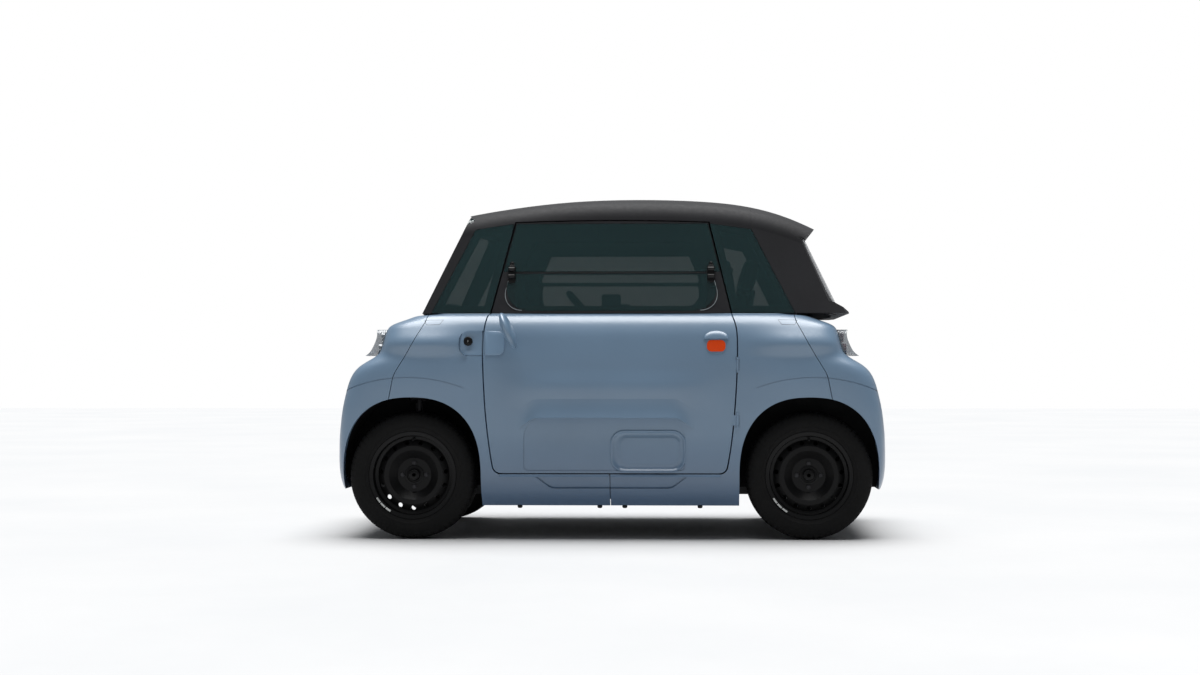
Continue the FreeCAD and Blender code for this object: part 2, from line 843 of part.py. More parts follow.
def make_quarter_glass():
    panes = []
    for zone in (front_quarter_window(0), rear_quarter_window(0)):
        panes += pane(zone.cut([opening_left, opening_right])).Solids
    return Part.makeCompound(panes)


def make_roof():
    zone = roof_zone(0).cut([opening_left, opening_right]).common(screen_block(-BROW))
    return zone.common(roof_arch(0)).cut(roof_arch(ROOF_WALL))


def make_rear_cap():
    """Pillars and frame round the rear window, with a spoiler above and a lip below."""
    cap = rear_cap_zone(0).common(cabin_solid(0))
    spoiler = roof_arch(0).common(side_prism([
        (760, ROOF, 0), (911, ROOF, 0), (911, 1380, 4), (882, 1342, 8), (858, 1328, 8),
        (812, 1330, 0), (760, 1370, 0)], -FAR, FAR))
    lip = roof_arch(0).common(side_prism([
        (925, 1044, 0), (975, 1038, 24), (1055, 994, 8), (1030, 958, 8), (925, 958, 0)], -FAR, FAR))
    lip = lip.common(screen_block(-LIP_REACH))
    cap = cap.fuse([spoiler, lip]).cut(cabin_solid(WALL))
    cap = cap.cut(over_belt)
    return cap.cut([rear_window_zone(1.5).cut(glass_back), rear_window_zone(-FRAME / 2)])


def make_cabin_frame():
    """Pillars, rails and headers that carry the glass and the roof."""
    frame = cabin_solid(0).cut(on_belt).cut(cabin_solid(PILLAR)).cut([opening_left, opening_right])
    for zone in (front_quarter_window, rear_quarter_window, windscreen_zone, rear_window_zone):
        frame = glazed(frame, zone)
    frame = frame.cut(roof_zone(SEAT).cut(roof_arch(ROOF_WALL + SEAT)))
    frame = frame.cut(rear_cap_zone(SEAT).cut(cabin_solid(WALL + SEAT)))
    return frame.cut(box(-500, 560, -330, 330, ROOF - 180, ROOF + 50))


def make_lamps():
    """The two head lamps: upright pods on the corners of the nose."""
    lamps = []
    for side in (LEFT, RIGHT):
        y0, y1 = sorted((side * 400, side * 560))
        zone = front_prism([(y0, 800, 30), (y1, 800, 30), (y1, 915, 30), (y0, 915, 30)], -FAR, -600)
        lamps += zone.common(body_solid(-36)).cut(body_solid(-SEAT)).Solids
    return Part.makeCompound(lamps)


nose = make_nose()
latch_quarter = make_latch_quarter()
hinge_quarter = make_hinge_quarter()
left_door = make_door()
left_frame = make_door_frame()
left_glass = make_door_glass()
marker = make_marker()
lamps = make_lamps()
keep("front_panel", nose)
keep("rear_panel", turned_round(nose))
keep("quarter_front_left", latch_quarter)
keep("quarter_rear_right", turned_round(latch_quarter))
keep("quarter_rear_left", hinge_quarter)
keep("quarter_front_right", turned_round(hinge_quarter))
keep("door_left", left_door)
keep("door_right", turned_round(left_door))
keep("door_frame_left", left_frame)
keep("door_frame_right", turned_round(left_frame))
keep("door_glass_left", left_glass)
keep("door_glass_right", turned_round(left_glass))
keep("side_marker_left", marker)
keep("side_marker_right", turned_round(marker))
keep("cabin_frame", make_cabin_frame())
keep("roof_panel", make_roof())
keep("rear_cap", make_rear_cap())
keep("windscreen", pane(windscreen_zone(0)).cut(roof_zone(1)))
keep("rear_window", pane(rear_window_zone(0)))
keep("quarter_glass", make_quarter_glass())
keep("headlamps", lamps)
keep("tail_lamps", turned_round(lamps))


# Inner structure
def made(kind, label, **lengths):
    """A primitive whose sizes and place are tied to the sheet."""
    item = doc.addObject(f"Part::{kind}", label)
    item.Label = label
    for name, length in lengths.items():
        bind(item, name.replace("_", "."), length)
    return item


def block(label, x0, x1, y0, y1, z0, z1):
    """A block between two corners, each coordinate a length or a number."""
    return made("Box", label, Length=x1 - x0, Width=y1 - y0, Height=z1 - z0,
                Placement_Base_x=x0, Placement_Base_y=y0, Placement_Base_z=z0)


def fused(label, pieces):
    """One sub-part made of several primitives joined together."""
    item = doc.addObject("Part::MultiFuse", label)
    item.Shapes = pieces
    item.Refine = True
    item.Label = label
    return item


def both_sides(label, x0, x1, inner, outer, z0, z1):
    """Two equal blocks, left and right of the middle of the car."""
    return [block(f"{label}_l", x0, x1, -outer, -inner, z0, z1),
            block(f"{label}_r", x0, x1, inner, outer, z0, z1)]


rail_z = size("rail_height")
rail_top = rail_z + size("rail_depth")
floor_z = rail_top + size("seat_gap")
floor_top = floor_z + size("floor_wall")
trim = size("trim_wall")
tray = size("footwell_half_width")
RAIL_OUT, RAIL_IN = 260, 200
STEER_FOOT_Y, STEER_FOOT_Z = 500, 175
STEER_TOP_Y, STEER_TOP_Z = 409, 720
TOWER_PLATE = 14
SILL_TUBE_OUT, SILL_FOOT_OUT, SILL_FOOT = 597.8, 595, 2
BEAM_GAP = 4.9
BEAM_HALF, BEAM_LOW, BEAM_TOP = 330, 330, 405
MEMBER = 30
TOWER_OUT = RAIL_OUT + 22


def make_chassis():
    """Two rails under the floor with cross members, sill tubes, bumper beams and strut towers."""
    beam = half_length - size("panel_wall") - BEAM_GAP
    inner = beam - MEMBER
    pieces = both_sides("rail", -inner, inner, RAIL_IN, RAIL_OUT, rail_z, rail_top)
    foot_top = rail_z + SILL_FOOT
    pieces += both_sides("sill_tube", -500, 500, SILL_TUBE_OUT - 45, SILL_TUBE_OUT, foot_top, rail_top)
    pieces += both_sides("sill_foot", -500, 500, SILL_TUBE_OUT - 45, SILL_FOOT_OUT, rail_z, foot_top)
    for end, name in ((FRONT, "front"), (REAR, "rear")):
        x0, x1 = (-beam, -inner) if end == FRONT else (inner, beam)
        pieces.append(block(f"beam_{name}", x0, x1, -BEAM_HALF, BEAM_HALF, BEAM_LOW, BEAM_TOP))
        pieces += both_sides(f"beam_post_{name}", x0 - end * MEMBER, x1 - end * MEMBER,
                             RAIL_IN, RAIL_OUT, rail_z, BEAM_TOP)
        c0 = -500 if end == FRONT else 440
        pieces.append(block(f"cross_{name}", c0, c0 + 60, -SILL_FOOT_OUT, SILL_FOOT_OUT,
                            rail_z, rail_top))
        place = -axle_x if end == FRONT else axle_x + 72
        pieces += both_sides(f"tower_{name}", place - 35, place + 35, RAIL_OUT - 8, TOWER_OUT,
                             rail_z, STEER_TOP_Z)
        pieces += both_sides(f"tower_plate_{name}", end * axle_x - 60, place + 35,
                             RAIL_OUT - 8, 470, STEER_TOP_Z, STEER_TOP_Z + TOWER_PLATE)
    return fused("chassis_frame", pieces)


TRAY_TOP = 640


def make_tub():
    """The cabin floor with its footwell, front and rear walls and parcel shelf."""
    wall_x = size("door_half_length") - 19
    tray_x0, tray_top = -(axle_x - 120), TRAY_TOP
    rear_x = wall_x + 98
    pieces = [
        block("floor", -wall_x, wall_x, -600, 600, floor_z, floor_top),
        block("footwell_floor", tray_x0, -wall_x, -tray, tray, floor_z, floor_top),
        block("footwell_front", tray_x0, tray_x0 + trim, -tray, tray, floor_z, tray_top),
        block("footwell_roof", tray_x0, -(wall_x - trim), -tray, tray, tray_top - trim, tray_top),
        block("rear_floor", wall_x, rear_x, -440, 440, floor_z, floor_top),
        block("rear_wall", rear_x, rear_x + trim, -440, 440, floor_z, 930),
        block("shelf", rear_x, rear_x + 290, -500, 500, 930, trim + 930),
    ]
    pieces += both_sides("footwell_side", tray_x0, -(wall_x - trim), tray - trim, tray, floor_z, tray_top)
    pieces += both_sides("front_wall", -wall_x, -(wall_x - trim), tray - trim, 600, floor_z, tray_top)
    pieces += both_sides("rear_side_wall", wall_x - trim, wall_x, 440 - trim, 600, floor_z, 660)
    pieces += both_sides("rear_side", wall_x - trim, rear_x + trim, 440 - trim, 440, floor_z, 660)
    pieces += both_sides("rear_ledge", wall_x - trim, rear_x + trim, 440 - trim, 600, 660 - trim, 660)
    pieces += both_sides("rear_wing", rear_x, rear_x + trim, 440 - trim, 560, 660 - trim, 930)
    return fused("floor_tub", pieces)


LINER_GAP = float(size("liner_gap"))
LINER_WALL = float(size("liner_wall"))
LINER_INNER = {FRONT: 340, REAR: 446}


def make_liners(end):
    """The two wheelhouse liners of one axle, each an arch with an inner wall."""
    liners = []
    for side in (LEFT, RIGHT):
        y_in, y_out = side * LINER_INNER[end], side * (HALF_WIDTH - 40)
        y0, y1 = sorted((y_in, y_out))
        w0, w1 = sorted((y_in, y_in + side * LINER_WALL))
        hollow0, hollow1 = sorted((y_in + side * LINER_WALL, side * FAR))
        outer = arch_prism(end, LINER_GAP + LINER_WALL, y0, y1)
        outer = outer.cut(box(-FAR, FAR, -FAR, FAR, -200, float(size("bumper_height")) + 4))
        liner = outer.cut(arch_prism(end, LINER_GAP, hollow0, hollow1))
        x = end * AXLE_X
        liner = liner.cut(box(x - 90, x + 90, w0 - 1, w1 + 1, 0, 380))
        top_y = side * (STEER_TOP_Y + 16)
        if end == FRONT:
            liner = liner.cut(Part.makeCylinder(56, 200, Vector(x, top_y, 560)))
        liners.append(liner.common(body_solid(WALL + SEAT)))
    return Part.makeCompound([solid for liner in liners for solid in liner.Solids])


def make_seats():
    """Two seats, each a cushion on a base and a reclined back."""
    pieces = []
    seat_z = float(size("seat_height"))
    thick = float(size("cushion_thickness"))
    half = float(size("seat_width")) / 2
    for side in (LEFT, RIGHT):
        middle = side * float(size("seat_spacing")) / 2
        y0, y1 = middle - half, middle + half
        profile = [(-20, seat_z - thick, 30), (475, seat_z - thick, 20),
                   (540, seat_z - 40, 30), (672, 1170, 40), (655, 1245, 30), (600, 1240, 40),
                   (540, 1100, 160), (430, seat_z - 22, 60), (200, seat_z - 18, 200),
                   (20, seat_z + 8, 50), (-30, seat_z - 40, 30)]
        seat = side_prism(profile, y0, y1)
        rims = [edge for edge in seat.Edges
                if all(abs(vertex.Y - y0) < 1e-6 for vertex in edge.Vertexes)
                or all(abs(vertex.Y - y1) < 1e-6 for vertex in edge.Vertexes)]
        pieces.append(seat.makeChamfer(14, rims))
    return Part.makeCompound(pieces)


STEER_WHEEL = Vector(-100, -232, 960)
STEER_AXIS = Vector(0.766, 0, 0.643).normalize()
SHAFT_RADIUS = 10


def make_dashboard():
    """The dashboard across the cabin with the steering column and its fixed shaft."""
    low = TRAY_TOP + SEAT
    body = side_prism([(-770, 700, 10), (-770, 940, 30), (-620, 972, 40), (-500, 960, 30),
                       (-452, 895, 30), (-462, low, 10), (-DOOR_HALF + 17, low, 0),
                       (-DOOR_HALF + 17, 700, 10)], -505, 505)
    column = Part.makeCylinder(24, 480, STEER_WHEEL - STEER_AXIS * 510, STEER_AXIS)
    column = column.common(box(-FAR, FAR, -FAR, FAR, low, FAR))
    shaft = Part.makeCylinder(SHAFT_RADIUS - AXLE_CLEARANCE, 45.5, STEER_WHEEL - STEER_AXIS * 30, STEER_AXIS)
    return body.fuse([column, shaft])


def make_steering_wheel():
    """A three-spoked wheel on its shaft."""
    radius = float(size("steering_wheel_diameter")) / 2 - 15
    upright = Placement(STEER_WHEEL, Rotation(Vector(0, 0, 1), STEER_AXIS))
    rim = Part.makeTorus(radius, 15)
    hub = Part.makeCylinder(42, 48, Vector(0, 0, -24))
    pieces = [hub]
    for turn in (0, 180, 270):
        spoke = Part.makeBox(radius - 6, 36, 12, Vector(0, -18, -6))
        spoke.rotate(Vector(0, 0, 0), Vector(0, 0, 1), turn + 90)
        pieces.append(spoke)
    wheel = rim.fuse(pieces).cut(Part.makeCylinder(SHAFT_RADIUS, 46, Vector(0, 0, -30)))
    wheel.Placement = upright
    return wheel


keep("seats", make_seats())
keep("dashboard", make_dashboard())
keep("steering_wheel", make_steering_wheel())
keep("front_liners", make_liners(FRONT))
keep("rear_liners", make_liners(REAR))
parts["chassis_frame"] = make_chassis()
parts["floor_tub"] = make_tub()
seat_gap = size("seat_gap")
parts["battery_block"] = block("battery_block", -10, 440, -430, 430, floor_top + seat_gap,
                               size("seat_height") - size("cushion_thickness") - seat_gap)
parts["motor_block"] = block("motor_block", -axle_x - 170, -axle_x + 90, -220, 220,
                             rail_top + seat_gap, 430)


# Wheels and suspension
STUB_END = 30
KNUCKLE_FACE = -6
STRUT_RADIUS = 16
ROD_RADIUS = 8


def steering_point(z, side):
    """The point of one steering axis at a height."""
    share = (z - STEER_FOOT_Z) / (STEER_TOP_Z - STEER_FOOT_Z)
    return Vector(-AXLE_X, side * (STEER_FOOT_Y + (STEER_TOP_Y - STEER_FOOT_Y) * share), z)


def steering_cylinder(radius, z0, z1, side):
    """A cylinder along one steering axis between two heights."""
    low, high = steering_point(z0, side), steering_point(z1, side)
    return Part.makeCylinder(radius, (high - low).Length, low, high - low)


def hub_cylinder(radius, inner, outer, end, side):
    """A cylinder on a wheel's axis, its ends measured outward from the wheel's middle."""
    start = Vector(end * AXLE_X, side * (WHEEL_Y + inner), AXLE_Z)
    return Part.makeCylinder(radius, outer - inner, start, Vector(0, side, 0))


def make_knuckle(side):
    """The steered upright: strut tube, lower eye, hub carrier and stub axle."""
    spindle = float(size("axle_radius"))
    pieces = [
        hub_cylinder(46, -60, KNUCKLE_FACE, FRONT, side),
        hub_cylinder(spindle, KNUCKLE_FACE, STUB_END, FRONT, side),
        hub_cylinder(22, STUB_END - 12, STUB_END, FRONT, side),
        steering_cylinder(STRUT_RADIUS, 200, 590, side),
        steering_cylinder(20, 160, 206, side),
    ]
    knuckle = pieces[0].fuse(pieces[1:])
    rod = steering_cylinder(ROD_RADIUS + AXLE_CLEARANCE, 480, 600, side)
    pin = steering_cylinder(ROD_RADIUS + AXLE_CLEARANCE, 150, 190, side)
    return knuckle.cut([rod, pin])


def make_front_suspension():
    """Lower arms, strut rods and springs; the knuckles turn on the rods and the lower pins."""
    pieces = []
    for side in (LEFT, RIGHT):
        rod = steering_cylinder(ROD_RADIUS, 482, STEER_TOP_Z - 1.6, side)
        spring = steering_cylinder(42, 604, STEER_TOP_Z - 8, side).cut(
            steering_cylinder(35, 610, STEER_TOP_Z - 18, side))
        pieces.append(rod.fuse(spring))
        y0, y1 = sorted((side * (TOWER_OUT + SEAT), side * 490))
        arm = box(-AXLE_X - 18, -AXLE_X + 18, y0, y1, 138, 154)
        foot_y = sorted((side * (TOWER_OUT + SEAT), side * (TOWER_OUT + 16)))
        foot = box(-AXLE_X - 18, -AXLE_X + 18, *foot_y, 138, 230)
        eye = steering_cylinder(20, 138, 154, side)
        pin = steering_cylinder(ROD_RADIUS, 150, 188, side)
        pieces.append(arm.fuse([foot, eye, pin]))
    return Part.makeCompound(pieces)


def make_rear_axle():
    """A beam between two stub axles, with a damper at each end."""
    spindle = float(size("axle_radius"))
    beam = Part.makeCylinder(30, 2 * WHEEL_Y - 140, Vector(AXLE_X, -WHEEL_Y + 70, AXLE_Z), Vector(0, 1, 0))
    pieces = []
    for side in (LEFT, RIGHT):
        pieces.append(hub_cylinder(46, -90, KNUCKLE_FACE, REAR, side))
        pieces.append(hub_cylinder(spindle, KNUCKLE_FACE, STUB_END, REAR, side))
        pieces.append(hub_cylinder(22, STUB_END - 12, STUB_END, REAR, side))
        low = Vector(AXLE_X, side * (STEER_TOP_Y + 10), AXLE_Z)
        pieces.append(Part.makeCylinder(18, STEER_TOP_Z - AXLE_Z - 0.3, low, Vector(0, 0, 1)))
    return beam.fuse(pieces)


def revolved(profile, end, side):
    """A ring on a wheel's axis from rows of radius and distance outward from its middle."""
    points = [Vector(end * AXLE_X, side * (WHEEL_Y + y), AXLE_Z + radius) for radius, y in profile]
    face = Part.Face(Part.makePolygon(points + points[:1]))
    axis_point = Vector(end * AXLE_X, 0, AXLE_Z)
    return face.revolve(axis_point, Vector(0, 1, 0), 360)


RIM = float(size("rim_radius"))
TREAD_HALF = float(size("tyre_width")) / 2
RIM_HALF = float(size("rim_width")) / 2
VENTS = 15
VENT_PITCH = 143
VENT_RADIUS = 10


def make_tyre(end, side):
    """A tyre with a plain tread, its beads just off the rim."""
    radius = AXLE_Z
    return revolved([(RIM + 0.2, -62), (RIM + 14, -64), (radius - 40, -TREAD_HALF),
                     (radius - 12, -TREAD_HALF + 6), (radius, -TREAD_HALF + 24),
                     (radius, TREAD_HALF - 24), (radius - 12, TREAD_HALF - 6),
                     (radius - 40, TREAD_HALF), (RIM + 14, 64), (RIM + 0.2, 62)], end, side)


def make_rim(end, side):
    """A pressed steel wheel: barrel, dished disc and a ring of vents."""
    bore = float(size("axle_radius")) + AXLE_CLEARANCE
    disc = revolved([
        (RIM + 12, -RIM_HALF), (RIM + 12, -RIM_HALF + 5), (RIM, -62), (RIM, 62),
        (RIM + 12, RIM_HALF - 5), (RIM + 12, RIM_HALF), (RIM - 4, RIM_HALF - 3), (RIM - 9, 36),
        (RIM - 22, 30), (128, 46), (108, 46), (74, 14), (bore, 14), (bore, 4), (76, 4),
        (108, 36), (128, 36), (RIM - 26, 20), (RIM - 6, 20), (RIM - 6, -RIM_HALF + 4)], end, side)
    for index in range(VENTS):
        turn = 2 * math.pi * (index + 0.5) / VENTS
        start = Vector(end * AXLE_X + VENT_PITCH * math.sin(turn), side * WHEEL_Y,
                       AXLE_Z + VENT_PITCH * math.cos(turn))
        disc = disc.cut(Part.makeCylinder(VENT_RADIUS, 60, start, Vector(0, side, 0)))
    return disc


for side, side_name in ((LEFT, "left"), (RIGHT, "right")):
    keep(f"knuckle_{side_name}", make_knuckle(side))
    for end, end_name in ((FRONT, "front"), (REAR, "rear")):
        keep(f"tyre_{end_name}_{side_name}", make_tyre(end, side))
        keep(f"rim_{end_name}_{side_name}", make_rim(end, side))
keep("front_suspension", make_front_suspension())
keep("rear_axle", make_rear_axle())


def make_mirror(side):
    """A leaf-shaped mirror on a stem at the front foot of the door's window."""
    head = Part.makeSphere(1)
    stretch = FreeCAD.Matrix()
    stretch.scale(24, 76, 82)
    head = head.transformGeometry(stretch)
    head.rotate(Vector(0, 0, 0), Vector(0, 1, 0), -22)
    head.translate(Vector(-432, side * 775, 905))
    foot = Vector(-462, side * 606, BELT - 16)
    hand = Vector(-446, side * 720, 948)
    stem = Part.makeCylinder(9, (hand - foot).Length, foot, hand - foot)
    return head.fuse(stem).cut(body_solid(-SEAT))


keep("mirror_left", make_mirror(LEFT))
keep("mirror_right", make_mirror(RIGHT))

doc.recompute()
for item in doc.Objects:
    if "Invalid" in item.State or "Error" in item.State:
        raise RuntimeError(f"{item.Label} failed: {item.State}")
for label, item in parts.items():
    shape = item.Shape
    print(label, shape.isValid(), len(shape.Solids), round(shape.Volume / 1e6, 3))
    if shape.isNull() or not shape.isValid():
        raise RuntimeError(f"{label} has no valid shape")
os.makedirs("parts", exist_ok=True)
for label, item in parts.items():
    item.Shape.exportStep(f"parts/{label}.step")
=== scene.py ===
"""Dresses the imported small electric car: materials, tyres, seats, trim, lamps, light and camera."""
import json
import math

import bmesh
import bpy
from mathutils import Matrix, Vector
from mathutils.bvhtree import BVHTree


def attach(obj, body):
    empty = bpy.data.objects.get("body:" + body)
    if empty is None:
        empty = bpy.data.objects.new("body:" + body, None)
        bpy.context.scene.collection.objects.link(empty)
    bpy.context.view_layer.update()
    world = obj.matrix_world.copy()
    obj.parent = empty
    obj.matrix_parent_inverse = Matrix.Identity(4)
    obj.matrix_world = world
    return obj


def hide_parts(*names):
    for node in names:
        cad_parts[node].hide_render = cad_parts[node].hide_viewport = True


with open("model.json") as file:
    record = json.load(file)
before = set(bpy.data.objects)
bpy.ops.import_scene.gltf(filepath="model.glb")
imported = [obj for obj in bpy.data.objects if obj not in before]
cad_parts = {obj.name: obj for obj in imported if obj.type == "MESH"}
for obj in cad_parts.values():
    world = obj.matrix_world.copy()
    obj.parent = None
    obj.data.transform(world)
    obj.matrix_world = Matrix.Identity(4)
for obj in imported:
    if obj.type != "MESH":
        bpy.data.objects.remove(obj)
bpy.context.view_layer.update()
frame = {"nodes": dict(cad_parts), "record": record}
NODES = frame["nodes"]

# Main places, in metres. Front is towards -X, the left side towards -Y, up is +Z.
AXLE_X = 0.864
AXLE_Z = 0.278
WHEEL_Y = 0.555
BELT = 0.985
LEFT, RIGHT = -1, 1
SIDE_NAMES = {LEFT: "left", RIGHT: "right"}
END_NAMES = {-1: "front", 1: "rear"}
TURNED = Matrix.Rotation(math.pi, 4, "Z")
MIRRORED = Matrix.Scale(-1, 4, (0, 1, 0))

# Facings as the directions across and up, for framed and axes
TO_DRIVER = ((0, 1, 0), (0, 0, 1))
TO_FRONT = ((0, -1, 0), (0, 0, 1))
TO_CABIN = ((-1, 0, 0), (0, 0, 1))
TO_LEFT = ((1, 0, 0), (0, 0, 1))


# Materials
class Shader:
    """A small wrapper that builds one node material."""

    def __init__(self, name):
        self.material = bpy.data.materials.new(name)
        self.material.use_nodes = True
        self.tree = self.material.node_tree
        self.tree.nodes.clear()
        self.out = self.tree.nodes.new("ShaderNodeOutputMaterial")
        self.main = self.tree.nodes.new("ShaderNodeBsdfPrincipled")
        self.join(self.main.outputs[0], self.out.inputs["Surface"])
        self.where = self.tree.nodes.new("ShaderNodeTexCoord").outputs["Object"]
        self.last_bump = None

    def join(self, a, b):
        self.tree.links.new(a, b)

    def node(self, kind, inputs=None, **settings):
        made = self.tree.nodes.new("ShaderNode" + kind)
        for key, value in settings.items():
            setattr(made, key, value)
        for key, value in (inputs or {}).items():
            if hasattr(value, "is_linked"):
                self.join(value, made.inputs[key])
            else:
                made.inputs[key].default_value = value
        return made

    def set(self, **values):
        for key, value in values.items():
            self.main.inputs[key.replace("_", " ")].default_value = value
        return self

    def stretched(self, scale):
        return self.node("Mapping", {"Vector": self.where, "Scale": scale}).outputs[0]

    def noise(self, scale, detail=3.0, stretch=None, rough=0.5):
        where = self.stretched(stretch) if stretch else self.where
        return self.node("TexNoise", {"Vector": where, "Scale": scale, "Detail": detail,
                                      "Roughness": rough}).outputs[0]

    def cells(self, scale):
        return self.node("TexVoronoi", {"Vector": self.where, "Scale": scale}).outputs[0]

    def wave(self, scale, direction="X", distort=0.0):
        return self.node("TexWave", {"Vector": self.where, "Scale": scale, "Distortion": distort},
                         bands_direction=direction).outputs[1]

    def map(self, value, low, high, from_low=0.0, from_high=1.0):
        return self.node("MapRange", {"Value": value, "From Min": from_low, "From Max": from_high,
                                      "To Min": low, "To Max": high}).outputs[0]

    def maths(self, how, a, b):
        return self.node("Math", {0: a, 1: b}, operation=how).outputs[0]

    def tones(self, value, dark, light, low=0.3, high=0.7):
        ramp = self.node("ValToRGB", {"Fac": value})
        for stop, (place, colour) in zip(ramp.color_ramp.elements, ((low, dark), (high, light))):
            stop.position, stop.color = place, (*colour, 1)
        return ramp.outputs[0]

    def mix(self, share, a, b):
        made = self.node("Mix", data_type="RGBA")
        for key, value in ((0, share), (6, a), (7, b)):
            if hasattr(value, "is_linked"):
                self.join(value, made.inputs[key])
            else:
                made.inputs[key].default_value = (*value, 1) if key else value
        return made.outputs[2]

    def colour(self, value):
        self.join(value, self.main.inputs["Base Color"])
        return self

    def rough(self, value):
        self.join(value, self.main.inputs["Roughness"])
        return self

    def bump(self, height, depth, strength=1.0):
        inputs = {"Height": height, "Distance": depth, "Strength": strength}
        if self.last_bump is not None:
            inputs["Normal"] = self.last_bump
        self.last_bump = self.node("Bump", inputs).outputs[0]
        self.join(self.last_bump, self.main.inputs["Normal"])
        return self

    def worn_edges(self):
        return self.map(self.node("NewGeometry").outputs["Pointiness"], 0.0, 0.5, 0.52, 0.62)


def shade(colour, factor):
    return tuple(c * factor for c in colour)


def body_paint(name="body_paint", light=1.0):
    s = Shader(name).set(Specular_IOR_Level=0.65, Coat_Weight=0.75, Coat_Roughness=0.3)
    base = shade((0.117, 0.193, 0.284), light)
    paint_tone = s.tones(s.noise(2.2, 4), shade(base, 0.955), shade(base, 1.04))
    # Painted shade: the paint darkens towards a deep blue from Z 0.46 m down to 0.14 m, mottled by
    # noise, so the lower sides and sill look shaded
    height = s.node("SeparateXYZ", {"Vector": s.where}).outputs[2]
    painted_low_shade = s.maths("ADD", s.map(height, 0.72, 0.0, 0.14, 0.46), s.map(s.noise(6, 6), -0.05, 0.05))
    s.colour(s.mix(painted_low_shade, paint_tone, (base[0] * 0.05, base[1] * 0.25, base[2] * 0.45)))
    s.rough(s.map(s.noise(24, 5), 0.36, 0.47))
    return s.bump(s.noise(520, 2), 0.00006, 0.5).material


def moulded(name, colour, rough, grain=900.0, depth=0.00018, light=1.5):
    """Grained black or grey plastic with lighter, scuffed edges."""
    s = Shader(name).set(Specular_IOR_Level=0.28)
    body = s.tones(s.noise(5, 6), shade(colour, 0.86), shade(colour, 1.14))
    s.colour(s.mix(s.worn_edges(), body, shade(colour, light)))
    s.rough(s.map(s.noise(60, 4), rough - 0.07, rough + 0.08))
    return s.bump(s.cells(grain), depth, 0.6).bump(s.noise(9, 3), 0.0004, 0.25).material


def glass(name, colour, alpha, rough=0.03):
    s = Shader(name).set(Alpha=alpha, Specular_IOR_Level=0.6)
    s.colour(s.tones(s.noise(1.4, 2), shade(colour, 0.9), shade(colour, 1.1)))
    s.rough(s.map(s.noise(14, 6), rough, rough + 0.05, 0.45, 0.75))
    s.material.surface_render_method = "BLENDED"
    return s.bump(s.noise(1.3, 1), 0.0006, 0.15).material


def lamp_cover():
    s = Shader("lamp_cover").set(Alpha=0.62, Specular_IOR_Level=0.7, Coat_Weight=0.6)
    s.colour(s.tones(s.wave(58, "Z"), (0.11, 0.135, 0.16), (0.20, 0.235, 0.27), 0.35, 0.65))
    s.rough(s.map(s.noise(40, 3), 0.08, 0.2))
    s.material.surface_render_method = "BLENDED"
    return s.bump(s.wave(58, "Z"), 0.0006, 0.7).material


def lens(name, colour, pitch=170, coat=0.7):
    """A moulded reflector or lamp lens with its grid of small pillows."""
    s = Shader(name).set(Specular_IOR_Level=coat * 0.8, Coat_Weight=coat, Coat_Roughness=0.05)
    grid = s.maths("MULTIPLY", s.wave(pitch, "X"), s.wave(pitch, "Z"))
    s.colour(s.tones(grid, shade(colour, 0.75), shade(colour, 1.15), 0.1, 0.9))
    s.rough(s.map(s.noise(80, 2), 0.14, 0.26))
    return s.bump(grid, 0.0005, 0.5).material


def metal(name, colour, rough, metallic=1.0, grain=220.0, depth=0.00008, shine=0.5):
    s = Shader(name).set(Metallic=metallic, Specular_IOR_Level=shine)
    s.colour(s.tones(s.noise(18, 5), shade(colour, 0.78), shade(colour, 1.18)))
    s.rough(s.map(s.noise(grain, 4), rough - 0.08, rough + 0.1))
    return s.bump(s.noise(grain, 3), depth, 0.6).material


def rubber():
    s = Shader("tyre").set(Specular_IOR_Level=0.2)
    dust = s.noise(7, 8, rough=0.62)
    s.colour(s.tones(dust, (0.0012, 0.0012, 0.0013), (0.0040, 0.0039, 0.0038), 0.35, 0.8))
    s.rough(s.map(s.noise(90, 4), 0.62, 0.82))
    return s.bump(s.noise(700, 2), 0.00012, 0.5).material


def fabric(name, dark, light, pitch=310.0):
    """A woven cloth: two crossed thread waves with slubs and a soft sheen."""
    s = Shader(name).set(Sheen_Weight=0.35, Sheen_Roughness=0.45, Specular_IOR_Level=0.2)
    weave = s.maths("ADD", s.wave(pitch, "X", distort=0.4), s.wave(pitch, "Z", distort=0.4))
    melange = s.noise(160, 4, (1, 1, 3))
    tint = s.maths("ADD", s.map(weave, 0.0, 0.25, 0, 2), melange)
    s.colour(s.tones(tint, dark, light, 0.4, 0.95))
    s.rough(s.map(melange, 0.78, 0.95))
    return s.bump(weave, 0.0005, 0.6).bump(s.noise(30, 3), 0.0012, 0.25).material


def gravelly(name, colour, rough, scale=70.0):
    """Felted or rough-sprayed surface, as on arch liners and castings."""
    s = Shader(name).set(Specular_IOR_Level=0.25)
    s.colour(s.tones(s.noise(scale / 5, 7), shade(colour, 0.7), shade(colour, 1.35)))
    s.rough(s.map(s.noise(scale, 4), rough - 0.08, rough + 0.06))
    return s.bump(s.noise(scale * 3, 5), 0.0006, 0.6).material


